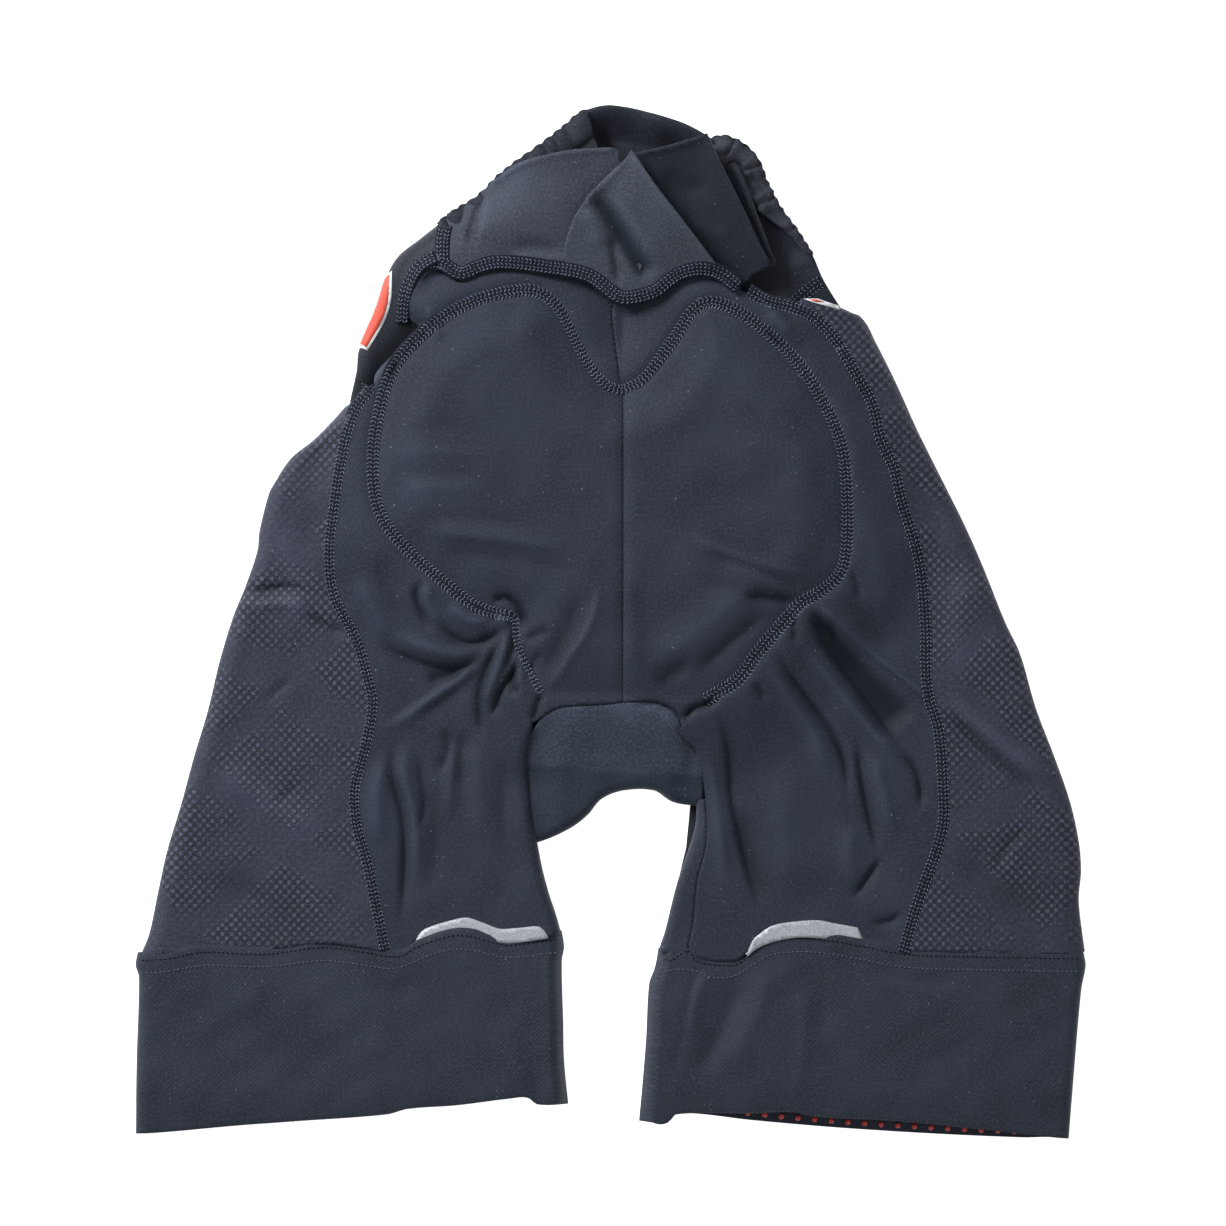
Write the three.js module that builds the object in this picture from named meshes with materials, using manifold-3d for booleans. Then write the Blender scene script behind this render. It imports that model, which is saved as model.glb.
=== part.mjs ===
// Cycling shorts with a sewn-in seat pad, lying on their front with the back side up.
// Millimetres. +X runs to the wearer's right, +Y to the waist, +Z up; the floor is z = 0.
import * as THREE from 'three';
import { mergeVertices } from 'three/addons/utils/BufferGeometryUtils.js';
import Module from 'manifold-3d';

const wasm = await Module();
wasm.setup();

// ---- Driving dimensions ----
const WIDTH = 421; // across both cuffs
const LENGTH = 458; // from hem to front waist edge
const CLOTH = 1.0; // knitted panel
const GAP = 0.3; // clearance between neighbouring pieces
const STITCH = 0.6; // height of a flatlock thread band
const PAD_BASE = 3.0; // base foam of the seat pad
const PAD_INSERT = 3.75; // firmer foam islands
const PAD_FACE = 0.8; // face cloth of the pad
const CAVITY = 5.6; // room for the body between the two halves of the pad
const LEG_HEIGHT = 11.0; // lying height of a leg, over both layers
const CUFF_HEIGHT = 10.0; // lying height of a cuff
const FOLD_GAP = 0.6; // gap across each fold line
const LEG_FOLD_Y = -78.8; // where a leg folds up over the seat
const CUFF_FOLD_Y = -159.5; // where a cuff turns up over the leg
const CROTCH_SEAM_Y = -41; // seam between the rear panels and the gusset
const GUSSET_LEFT = -36;
const GUSSET_RIGHT = 35;
const SEAM_BAND = 5.5; // width of a flatlock thread band
const PAD_STITCH_BAND = 6; // width of the double row that holds the pad
const THIN_SEAM_BAND = 1.6; // width of a plain overlocked seam
const ELASTIC_BAND = 14; // visible width of the waist elastic
const ELASTIC = 1.2; // its thickness
const TAB = 0.6; // thickness of the reflective tabs and hip badges
const BADGE_CLEARANCE = 0.4; // extra room under a badge, where the hip bends sharply
const TAB_HEIGHT = 9; // how far a reflective tab stands above the cuff line
const GRIPPER = 0.6; // thickness of the silicone-dotted tape
const GRIPPER_WIDTH = 30;
const PLEAT = 2.5; // height of the soft pleats in the yoke
const PLEAT_CLEARANCE = 1.1; // between the pleated yoke and the elastic inside it

// ---- Heights that follow from them ----
const HALF_STACK = CLOTH + GAP + PAD_BASE + GAP + PAD_INSERT + GAP + PAD_FACE;
const CREST = 2 * HALF_STACK + CAVITY - CLOTH / 2; // middle of the rear cloth, over the pad
const MIDDLE = HALF_STACK + CAVITY / 2; // half way between floor and crest
const FLOOR_CLOTH = CLOTH / 2; // middle of the front cloth
const LEG_EDGE = (LEG_HEIGHT - CLOTH) / 2; // radius of the folded edge of a leg or hip
const CUFF_EDGE = (CUFF_HEIGHT - CLOTH) / 2;
const TRIM_LIFT = CLOTH / 2 + GAP; // from the middle of a cloth to the underside of its trim
const FAR = 600; // beyond anything that is cut

// ---- Plan of the pieces, drawn at 421 x 458 and scaled to the size above ----
const across = WIDTH / 421;
const along = LENGTH / 458;

/** A smooth curve through [at, value] knots, as a function of the first number. */
function through(knots) {
  const last = knots.length - 1;
  const slope = (k) => {
    const a = knots[Math.max(k - 1, 0)];
    const b = knots[Math.min(k + 1, last)];
    return (b[1] - a[1]) / (b[0] - a[0]);
  };
  return (at) => {
    const next = knots.findIndex((knot) => knot[0] >= at);
    const k = next < 0 ? last : Math.max(next, 1);
    const [a0, v0] = knots[k - 1];
    const [a1, v1] = knots[k];
    const span = a1 - a0;
    const s = THREE.MathUtils.clamp((at - a0) / span, 0, 1);
    const bend = (v1 - v0) / span;
    const m0 = slope(k - 1) - bend;
    const m1 = slope(k) - bend;
    return v0 + s * (v1 - v0) + span * s * (1 - s) * (m0 * (1 - s) - m1 * s);
  };
}

/** Curve that gives x for each y. */
const upright = (knots) => through(knots.map(([y, x]) => [y * along, x * across]));

/** Curve that gives y for each x. */
const level = (knots) => through(knots.map(([x, y]) => [x * across, y * along]));

const LEFT = {
  name: 'left',
  sign: -1,
  outer: upright([[-229, -210], [-161, -210], [-147, -208], [-115, -199], [-79, -189], [-25, -175],
    [28, -157], [50, -153], [64, -147], [81, -130], [96, -118], [122, -110], [156, -97], [178, -75],
    [198, -49], [213, -30]]),
  seam: upright([[-160, -97], [-145, -100], [-105, -109], [-80, -115], [-36, -107], [0, -118],
    [30, -124], [64, -119], [86, -114], [106, -107], [125, -97], [140, -92], [152, -88],
    [160, -80], [185, -72]]),
  inner: upright([[-229, -18], [-161, -21], [-141, -21], [-114, -30], [-100, -31], [-89, -18], [-78, -8]]),
  flat: upright([[-79, -20], [-60, -28], [-41, -34], [-8, -46], [4, -56], [16, -78], [37, -100],
    [59, -107], [79, -107], [110, -96], [129, -82], [142, -64], [165, -52], [198, -26], [213, -12]]),
  pad: upright([[-61, -24], [-41, -28], [-8, -40], [4, -50], [16, -72], [37, -94], [59, -101],
    [79, -101], [110, -91], [129, -76], [142, -58], [147, -40]]),
  cuffLine: level([[-215, -148], [-164, -144], [-124, -142], [-95, -146], [-80, -140], [-62, -137],
    [-47, -141], [-15, -138]]),
  hem: level([[-210, -227], [-138, -220], [-67, -213], [-18, -211]]),
  tab: [-84, -29],
  seamTop: 150,
  badge: [[-92, 158], [-116, 158], [-116, 121], [-103, 121]],
};

const RIGHT = {
  name: 'right',
  sign: 1,
  outer: upright([[-229, 204], [-161, 210], [-147, 210], [-97, 208], [-77, 204], [-34, 188], [24, 165],
    [55, 152], [81, 138], [110, 125], [131, 115], [140, 103], [156, 94], [188, 71], [213, 52]]),
  seam: upright([[-160, 127], [-145, 131], [-108, 143], [-74, 148], [-36, 144], [0, 140], [24, 136],
    [46, 131], [69, 124], [94, 115], [113, 106], [127, 97], [140, 89], [160, 80], [190, 64]]),
  inner: upright([[-229, 13], [-161, 18], [-146, 22], [-117, 30], [-101, 35], [-78, 38]]),
  flat: upright([[-79, 24], [-60, 30], [-41, 36], [-30, 52], [-10, 68], [10, 88], [23, 104], [41, 108],
    [70, 107], [94, 99], [117, 82], [135, 62], [165, 50], [198, 34], [213, 24]]),
  pad: upright([[-61, 25], [-41, 30], [-30, 46], [-10, 62], [10, 82], [23, 98], [41, 102], [70, 101],
    [94, 93], [117, 76], [135, 56], [147, 36]]),
  cuffLine: level([[15, -149], [45, -150], [58, -150], [69, -140], [89, -138], [120, -143],
    [165, -147], [215, -147]]),
  hem: level([[13, -220], [36, -218], [80, -216], [107, -222], [174, -227], [204, -229]]),
  inseam: upright([[-160, 32], [-137, 36], [-114, 39], [-88, 43], [-78, 42]]),
  tab: [63, 113],
  seamTop: 131,
  badge: [[86, 147], [112, 147], [108, 128], [98, 134]],
};

const centreSeam = upright([[-45, 6], [86, 6], [105, 5], [133, 1], [150, 2]]);
const yokeSeam = level([[-95, 152], [-80, 160], [-66, 155], [-46, 160], [-18, 155], [-4, 150], [6, 144],
  [19, 147], [34, 155], [51, 151], [71, 138], [95, 138]]);
const yokeTop = level([[-75, 176], [-53, 192], [-29, 204], [0, 209], [22, 209], [43, 207], [66, 189]]);
const waistTop = level([[-72, 180], [-49, 198], [-24, 215], [0, 229], [14, 227], [43, 216], [62, 206],
  [72, 188]]);
const crotchArch = level([[-37, -77], [-8, -77], [4, -73], [18, -73], [30, -77], [37, -77]]);
const padFrontHalfWidth = through([[-61, 25], [-30, 40], [0, 52], [40, 56], [72, 36]].map(
  ([y, half]) => [y * along, half * across]));
const padOutline = [[-33, -25], [-40, -8], [-44, 5], [-58, 9], [-78, 21], [-97, 40], [-105, 62], [-104, 84],
  [-95, 112], [-80, 129], [-62, 142], [-44, 147], [-29, 145], [-19, 134], [-13, 119], [-5, 107], [5, 103],
  [16, 110], [27, 124], [36, 137], [44, 141], [61, 134], [80, 117], [97, 94], [105, 68], [106, 41],
  [101, 21], [86, 9], [68, -10], [50, -30]];
const padNotch = [[5, 96], [-8, 110], [-20, 150], [36, 150], [26, 118]];

const place = ([x, y]) => [x * across, y * along];
const { lerp, smoothstep, clamp } = THREE.MathUtils;
const steps = (count) => Array.from({ length: count + 1 }, (_, k) => k / count);

// ---- Solids ----

/** A manifold of a closed three.js geometry. */
function solid(geometry) {
  const bare = geometry.clone();
  bare.deleteAttribute('normal');
  bare.deleteAttribute('uv');
  const merged = mergeVertices(bare, 1e-4);
  const body = new wasm.Manifold(new wasm.Mesh({
    numProp: 3,
    vertProperties: new Float32Array(merged.attributes.position.array),
    triVerts: new Uint32Array(merged.index.array),
  }));
  return body;
}

/**
 * A cloth wall over a grid of columns and rows. skin(i, j) gives the middle of the cloth at a grid point;
 * the wall has half its thickness on each side. With loop, the last column joins the first.
 */
function wall(columns, rows, thickness, skin, loop = false) {
  const points = [];
  for (let j = 0; j < rows; j += 1) {
    for (let i = 0; i < columns; i += 1) points.push(skin(i, j));
  }
  const at = (i, j) => {
    const column = loop ? (i + columns) % columns : clamp(i, 0, columns - 1);
    return points[clamp(j, 0, rows - 1) * columns + column];
  };
  const positions = [];
  for (const side of [0.5, -0.5]) {
    for (let j = 0; j < rows; j += 1) {
      for (let i = 0; i < columns; i += 1) {
        const du = at(i + 1, j).clone().sub(at(i - 1, j)).normalize();
        const dv = at(i, j + 1).clone().sub(at(i, j - 1)).normalize();
        const normal = du.cross(dv).normalize();
        positions.push(...at(i, j).clone().addScaledVector(normal, side * thickness));
      }
    }
  }
  const index = [];
  const quad = (a, b, c, d) => index.push(a, b, c, a, c, d);
  const under = columns * rows;
  const spans = loop ? columns : columns - 1;
  for (let j = 0; j < rows - 1; j += 1) {
    for (let i = 0; i < spans; i += 1) {
      const a = j * columns + i;
      const b = j * columns + ((i + 1) % columns);
      quad(a, b, b + columns, a + columns);
      quad(under + a, under + a + columns, under + b + columns, under + b);
    }
    if (!loop) {
      const start = j * columns;
      const end = start + columns - 1;
      quad(start, start + columns, under + start + columns, under + start);
      quad(end, under + end, under + end + columns, end + columns);
    }
  }
  for (let i = 0; i < spans; i += 1) {
    const next = (i + 1) % columns;
    const far = (rows - 1) * columns;
    quad(i, under + i, under + next, next);
    quad(far + i, far + next, under + far + next, under + far + i);
  }
  const geometry = new THREE.BufferGeometry();
  geometry.setAttribute('position', new THREE.Float32BufferAttribute(positions, 3));
  geometry.setIndex(index);
  return solid(geometry);
}

/** An upright prism over a closed outline of [x, y] points. */
function prism(outline, low = -FAR, high = FAR) {
  const shape = new THREE.Shape(outline.map(([x, y]) => new THREE.Vector2(x, y)));
  const geometry = new THREE.ExtrudeGeometry(shape, { depth: high - low, bevelEnabled: false });
  return solid(geometry.translate(0, 0, low));
}

/** An upright prism over a rectangle. */
const block = (x0, x1, y0, y1, low = -FAR, high = FAR) => prism(
  [[x0, y0], [x1, y0], [x1, y1], [x0, y1]], low, high);

/** Points of an x-for-y curve, moved sideways by shift. */
const climb = (curve, from, to, count, shift = 0) => steps(count).map((s) => {
  const y = lerp(from, to, s);
  return [curve(y) + shift, y];
});

/** Points of a y-for-x curve, moved up by shift. */
const cross = (curve, from, to, count, shift = 0) => steps(count).map((s) => {
  const x = lerp(from, to, s);
  return [x, curve(x) + shift];
});

/** The outline of a band of one width along a path of [x, y] points. */
function ribbon(path, width) {
  const curve = new THREE.SplineCurve(path.map(([x, y]) => new THREE.Vector2(x, y)));
  const count = path.length;
  const edge = (side) => steps(count).map((s) => {
    const point = curve.getPoint(s);
    const tangent = curve.getTangent(s);
    return [point.x - tangent.y * side * width / 2, point.y + tangent.x * side * width / 2];
  });
  return [...edge(1), ...edge(-1).reverse()];
}

// ---- The draped hull of seat and legs ----

/** Height of the middle of the rear cloth over the seat. */
function seatHeight(x, y) {
  const flatLeft = LEFT.flat(y);
  const flatRight = RIGHT.flat(y);
  const pleats = PLEAT * Math.sin(x / 9) * smoothstep(y, 158 * along, 200 * along);
  const low = FLOOR_CLOTH + 2 * LEG_EDGE;
  const fall = x < flatLeft
    ? (x - LEFT.outer(y) - LEG_EDGE) / (flatLeft - LEFT.outer(y) - LEG_EDGE)
    : (RIGHT.outer(y) - LEG_EDGE - x) / (RIGHT.outer(y) - LEG_EDGE - flatRight);
  const share = clamp(fall, 0, 1);
  return low + (CREST - low) * share * share + pleats * share;
}

/** Height of the middle of the rear cloth over a leg, which sinks from the seat's height. */
function legHeight(x, y) {
  const low = FLOOR_CLOTH + 2 * LEG_EDGE;
  const hold = smoothstep(y, LEG_FOLD_Y * along - 16, LEG_FOLD_Y * along);
  return low + (seatHeight(x, LEG_FOLD_Y * along) - low) * hold;
}

/** One cross-section of a flattened cloth tube, from the left fold over the top and back below. */
function section(stations, y, left, right, radius, height) {
  const edges = [0.75, 0.5, 0.25].map((turn) => turn * Math.PI);
  const low = left + radius;
  const high = right - radius;
  const top = stations.map((x) => new THREE.Vector3(x, y, height(x, y)));
  const rightFold = edges.map((a) => new THREE.Vector3(
    high + radius * Math.sin(a), y, FLOOR_CLOTH + radius - radius * Math.cos(a)));
  const leftFold = edges.map((a) => new THREE.Vector3(
    low - radius * Math.sin(a), y, FLOOR_CLOTH + radius - radius * Math.cos(a))).reverse();
  const bottom = [high, lerp(high, low, 0.4), lerp(high, low, 0.6), low].map(
    (x) => new THREE.Vector3(x, y, FLOOR_CLOTH));
  return [...top, ...rightFold, ...bottom, ...leftFold];
}

/** The same cross-section pushed outwards, for what is sewn on top of the cloth. */
function lifted(points, lift) {
  return points.map((point, k) => {
    const before = points[(k + points.length - 1) % points.length];
    const after = points[(k + 1) % points.length];
    const normal = new THREE.Vector3(before.z - after.z, 0, after.x - before.x).normalize();
    return point.clone().addScaledVector(normal, lift);
  });
}

/** A tube through the cross-sections of several rows. */
function tube(rows, sectionAt, thickness, lift = 0) {
  const rings = rows.map((y) => lifted(sectionAt(y), lift));
  return wall(rings[0].length, rows.length, thickness, (i, j) => rings[j][i], true);
}

const seatRows = [-68, -56, CROTCH_SEAM_Y, -28, -10, 8, 28, 50, 72, 94, 114, 134, 152, 168, 184, 198,
  213].map((y) => y * along);
seatRows.unshift(LEG_FOLD_Y * along + FOLD_GAP / 2);

function seatSection(y) {
  const left = LEFT.outer(y) + LEG_EDGE;
  const right = RIGHT.outer(y) - LEG_EDGE;
  const stations = [
    ...[0, 0.4, 0.7].map((s) => lerp(left, LEFT.flat(y), s)),
    ...steps(6).map((s) => lerp(LEFT.flat(y), RIGHT.flat(y), s)),
    ...[0.3, 0.6, 1].map((s) => lerp(RIGHT.flat(y), right, s)),
  ];
  return section(stations, y, LEFT.outer(y), RIGHT.outer(y), LEG_EDGE, seatHeight);
}

const trimMiddle = (thickness) => TRIM_LIFT + thickness / 2;
const seatHull = tube(seatRows, seatSection, CLOTH);
const seatTrim = tube(seatRows, seatSection, STITCH, trimMiddle(STITCH));
const badgeFilm = tube(seatRows, seatSection, TAB, trimMiddle(TAB) + BADGE_CLEARANCE);

// ---- The part ----
const shorts = new THREE.Group();

/** Adds one named piece; finish is [colour, roughness, metalness]. */
function add(name, body, [color, roughness, metalness]) {
  const mesh = body.getMesh();
  const geometry = new THREE.BufferGeometry();
  geometry.setAttribute('position', new THREE.Float32BufferAttribute(mesh.vertProperties, 3));
  geometry.setIndex(Array.from(mesh.triVerts));
  geometry.computeVertexNormals();
  const piece = new THREE.Mesh(geometry, new THREE.MeshStandardMaterial({ color, roughness, metalness }));
  piece.name = name;
  shorts.add(piece);
}

const KNIT = [0x14171d, 0.7, 0];
const EMBOSSED_KNIT = [0x191a1f, 0.75, 0];
const CUFF_KNIT = [0x14161b, 0.72, 0];
const THREAD = [0x0c0e12, 0.6, 0];
const FOAM = [0x30343c, 0.95, 0];
const FACE = [0x1c1f26, 0.85, 0];
const RUBBER = [0x16181c, 0.6, 0];
const REFLECTIVE = [0xaeb1b8, 0.35, 0.3];
const BADGE = [0xd8402f, 0.45, 0];

const half = GAP / 2;
const foldTop = LEG_FOLD_Y * along + FOLD_GAP / 2;
const foldBelow = LEG_FOLD_Y * along - FOLD_GAP / 2;
const cuffFoldTop = CUFF_FOLD_Y * along + FOLD_GAP / 2;
const cuffFoldBelow = CUFF_FOLD_Y * along - FOLD_GAP / 2;
const gussetTop = CROTCH_SEAM_Y * along;
const gussetSide = { left: GUSSET_LEFT * across, right: GUSSET_RIGHT * across };
const hipTop = 184 * along; // where the side panels end at the waist
const edgeLevel = FLOOR_CLOTH + LEG_EDGE; // height of a folded edge

/** Everything swept from a path of [x, y] points in one direction. */
const swept = (path, dx, dy, low, high) => {
  const [x1, y1] = path[path.length - 1];
  const [x0, y0] = path[0];
  return prism([...path, [x1 + dx, y1 + dy], [x0 + dx, y0 + dy]], low, high);
};
const aboveEdge = block(-FAR, FAR, -FAR, FAR, edgeLevel, FAR);
const hipSeam = (side, shift) => {
  const path = climb(side.seam, foldBelow - 1, hipTop + 2, 20, shift);
  return [...path, [path[path.length - 1][0], FAR]];
};
const outsideSeam = (side) => swept(hipSeam(side, side.sign * half), side.sign * FAR, 0);
const insideSeam = (side) => swept(hipSeam(side, -side.sign * half), -side.sign * FAR, 0);
const acrossSeat = (curve, reach, shift) => {
  const path = cross(curve, -reach * across, reach * across, 20, shift);
  return [[-FAR, path[0][1]], ...path, [FAR, path[path.length - 1][1]]];
};
const centreLine = (shift) => climb(centreSeam, foldBelow - 1, 170 * along, 10, shift);
const gussetPlan = (grow) => block(
  gussetSide.left - grow, gussetSide.right + grow, -FAR, gussetTop + grow);
const seatPath = (curve, from, to, count) => climb(curve, from * along, to * along, count);

/** The band of seat trim along a path, on the upper side. */
const seatBand = (path, width) => seatTrim.intersect(aboveEdge).intersect(prism(ribbon(path, width)));

// ---- Rear of the seat ----

/** One rear panel, with its cut-out beside the gusset. */
function rearPanel(side) {
  return seatHull.intersect(aboveEdge)
    .intersect(insideSeam(side))
    .intersect(swept(acrossSeat(yokeSeam, 96, -half), 0, -FAR))
    .intersect(swept(centreLine(side.sign * half), side.sign * FAR, 0))
    .subtract(gussetPlan(half));
}

/** One side panel over the hip: it bends round the folded edge to the front side seam. */
function hipPanel(side) {
  return seatHull.intersect(outsideSeam(side)).intersect(block(-FAR, FAR, -FAR, hipTop));
}

/** The rear yoke, from the yoke seam to the collapsed rear waist edge. */
function yoke() {
  return seatHull.intersect(aboveEdge)
    .intersect(insideSeam(LEFT))
    .intersect(insideSeam(RIGHT))
    .intersect(swept(acrossSeat(yokeSeam, 96, half), 0, FAR))
    .intersect(swept(acrossSeat(yokeTop, 76, 0), 0, -FAR));
}

function buildSeatRear() {
  for (const side of [LEFT, RIGHT]) {
    const seam = seatPath(side.seam, -77.5, side.seamTop, 12);
    add(`rear_panel_${side.name}`, rearPanel(side), KNIT);
    add(`side_panel_hip_${side.name}`, hipPanel(side), EMBOSSED_KNIT);
    add(`side_seam_hip_${side.name}`, seatBand(seam, SEAM_BAND), THREAD);
    add(`hip_badge_${side.name}`, badgeFilm.intersect(prism(side.badge.map(place), CLOTH, FAR)), BADGE);
  }
  add('rear_yoke', yoke(), KNIT);
  add('yoke_seam', seatBand(cross(yokeSeam, -76 * across, 76 * across, 12), SEAM_BAND), THREAD);
  add('centre_back_seam', seatBand(seatPath(centreSeam, -37, 97, 6), THIN_SEAM_BAND), THREAD);
  add('centre_back_seam_top', seatBand(seatPath(centreSeam, 109, 139, 4), THIN_SEAM_BAND), THREAD);
  add('pad_stitching', seatBand(padOutline.map(place), PAD_STITCH_BAND), THREAD);
}

// ---- Gusset and seat pad, bent double at the crotch ----

/**
 * A cloth or foam folded double at the crotch. edge(side, y, below) gives its left and right limits,
 * top and bottom are where its upper and lower halves end.
 */
function foldedOver({ edge, top, bottom, thickness, columns, rows, upper, bendAt }) {
  const bendRows = 6; // facets round the bend
  const rings = [];
  for (const s of steps(rows)) rings.push({ run: 'upper', s });
  for (let k = 1; k < bendRows; k += 1) rings.push({ run: 'bend', s: k / bendRows });
  for (const s of steps(rows)) rings.push({ run: 'lower', s });
  return wall(columns + 1, rings.length, thickness, (i, j) => {
    const { run, s } = rings[j];
    const share = i / columns;
    const atBend = lerp(edge(-1, LEG_FOLD_Y, false), edge(1, LEG_FOLD_Y, false), share);
    const bend = bendAt(atBend);
    if (run === 'bend') {
      const turn = s * Math.PI;
      return new THREE.Vector3(atBend, bend.y - bend.radius * Math.sin(turn),
        bend.z + bend.radius * Math.cos(turn));
    }
    const below = run === 'lower';
    const y = below ? lerp(bend.y, bottom, s) : lerp(top, bend.y, s);
    const x = lerp(edge(-1, y, below), edge(1, y, below), share);
    return new THREE.Vector3(x, y, below ? bend.z - bend.radius : upper(x, y));
  });
}

const padBend = crotchArch(11 * across) + MIDDLE; // middle of the bend, under the top of the arch
const padLayer = (lift, thickness) => ({ radius: MIDDLE - lift - thickness / 2, thickness });

/** A layer of the pad that runs from the rear round the crotch to the front. */
function padSheet({ radius, thickness }) {
  const edge = (side, y, below) => {
    const bent = Math.max(y, padBend);
    if (below) return side * padFrontHalfWidth(bent);
    return side < 0 ? LEFT.pad(bent) : RIGHT.pad(bent);
  };
  const sheet = foldedOver({
    edge,
    top: 147 * along,
    bottom: 72 * along,
    thickness,
    columns: 6,
    rows: 9,
    upper: () => MIDDLE + radius,
    bendAt: () => ({ y: padBend, z: MIDDLE, radius }),
  });
  return sheet.subtract(prism(padNotch.map(place)));
}

/** A firm foam island: an outline with rounded corners between two heights. */
function island(x, y, width, length, low) {
  const outline = new THREE.EllipseCurve(x * across, y * along, width * across / 2, length * along / 2)
    .getPoints(20).slice(1).map((point) => [point.x, point.y]);
  return prism(outline, low, low + PAD_INSERT);
}

function buildPad() {
  const baseLift = CLOTH + GAP;
  const insertLift = baseLift + PAD_BASE + GAP;
  const faceLift = insertLift + PAD_INSERT + GAP;
  const upperInsert = 2 * MIDDLE - insertLift - PAD_INSERT;
  add('pad_base_foam', padSheet(padLayer(baseLift, PAD_BASE)), FOAM);
  add('pad_face_cloth', padSheet(padLayer(faceLift, PAD_FACE)), FACE);
  add('pad_sit_insert_left', island(-44, 68, 66, 104, upperInsert), FOAM);
  add('pad_sit_insert_right', island(48, 66, 66, 104, upperInsert), FOAM);
  add('pad_perineal_insert', island(2, -30, 40, 46, upperInsert), FOAM);
  add('pad_front_insert', island(0, 4, 62, 100, insertLift), FOAM);
}

/** The gusset, outside the pad. */
function gusset() {
  const inset = gussetTop - half;
  const bendAt = (x) => {
    const radius = (seatHeight(x, padBend) - FLOOR_CLOTH) / 2;
    return { y: crotchArch(x) + radius + CLOTH / 2, z: FLOOR_CLOTH + radius, radius };
  };
  return foldedOver({
    edge: (side) => (side < 0 ? gussetSide.left + half : gussetSide.right - half),
    top: inset,
    bottom: inset,
    thickness: CLOTH,
    columns: 10,
    rows: 2,
    upper: (x, y) => lerp(seatHeight(x, padBend), seatHeight(x, y), smoothstep(y, padBend, inset)),
    bendAt,
  });
}

function buildCrotch() {
  add('gusset', gusset(), KNIT);
  const seamLine = [[-30, 0], [-16, 0], [0, 0], [16, 0], [31, 0]].map(
    ([x, rise]) => [x * across, gussetTop + rise]);
  add('crotch_seam', seatBand(seamLine, THIN_SEAM_BAND), THREAD);
}

// ---- Front of the seat, on the floor ----

/** One front panel, flat on the floor, with its cut-out beside the gusset. */
function frontPanel(side) {
  const middle = 3 * across + side.sign * half;
  return block(-FAR, FAR, foldTop, FAR, 0, CLOTH)
    .intersect(insideSeam(side))
    .intersect(swept(acrossSeat(waistTop, 72, 0), 0, -FAR))
    .intersect(swept([[middle, -FAR], [middle, FAR]], side.sign * FAR, 0))
    .subtract(gussetPlan(half));
}

/** A band of waist elastic inside a waist edge; height(x, y) gives the middle of the band. */
function elastic(edge, from, to, inset, height) {
  const columns = 20;
  return wall(columns + 1, 2, ELASTIC, (i, j) => {
    const x = lerp(from, to, i / columns) * across;
    const y = edge(x) - inset - j * ELASTIC_BAND;
    return new THREE.Vector3(x, y, height(x, y));
  });
}

function buildFront() {
  for (const side of [LEFT, RIGHT]) add(`front_panel_${side.name}`, frontPanel(side), KNIT);
  const onFront = CLOTH + GAP + ELASTIC / 2;
  add('waist_elastic_front', elastic(waistTop, -60, 60, 2, () => onFront), RUBBER);
  const hung = CLOTH / 2 + PLEAT_CLEARANCE + ELASTIC / 2;
  add('waist_elastic_rear', elastic(yokeTop, -30, 40, 3, (x, y) => seatHeight(x, y) - hung), RUBBER);
}

// ---- Legs ----
const legRows = [-87, -95, -112, -130, -145].map((y) => y * along);
legRows.unshift(foldBelow);
legRows.push(cuffFoldTop);

function legSection(side) {
  return (y) => {
    const left = Math.min(side.inner(y), side.outer(y));
    const right = Math.max(side.inner(y), side.outer(y));
    const stations = steps(7).map((s) => lerp(left + LEG_EDGE, right - LEG_EDGE, s));
    return section(stations, y, left, right, LEG_EDGE, legHeight);
  };
}

/** The points of a line across a whole leg. */
const acrossLeg = (side, curve, shift) => {
  const reach = [side.inner(cuffFoldTop) - side.sign * 14, side.outer(cuffFoldTop) + side.sign * 20];
  return cross(curve, Math.min(...reach), Math.max(...reach), 16, shift);
};
const legPath = (curve, shift) => climb(curve, cuffFoldTop - 1, foldBelow + 1, 12, shift);

/** Rear and front leg panels: one of them bends round the inner edge to meet the other at the inseam. */
function legPanels(side, cloth) {
  const { sign } = side;
  const seam = side.inseam ?? ((y) => side.inner(y) + sign * (LEG_EDGE + 1));
  const rest = (shift, low, high) => swept(legPath(seam, shift), sign * FAR, 0, low, high);
  if (side.inseam) {
    return {
      rear: cloth.intersect(rest(sign * half, edgeLevel, FAR)),
      front: cloth.subtract(rest(-sign * half, edgeLevel - 1, FAR)),
    };
  }
  return {
    rear: cloth.subtract(rest(-sign * half, -FAR, edgeLevel - 1)),
    front: cloth.intersect(rest(sign * half, -FAR, edgeLevel - 1)),
  };
}

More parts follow.
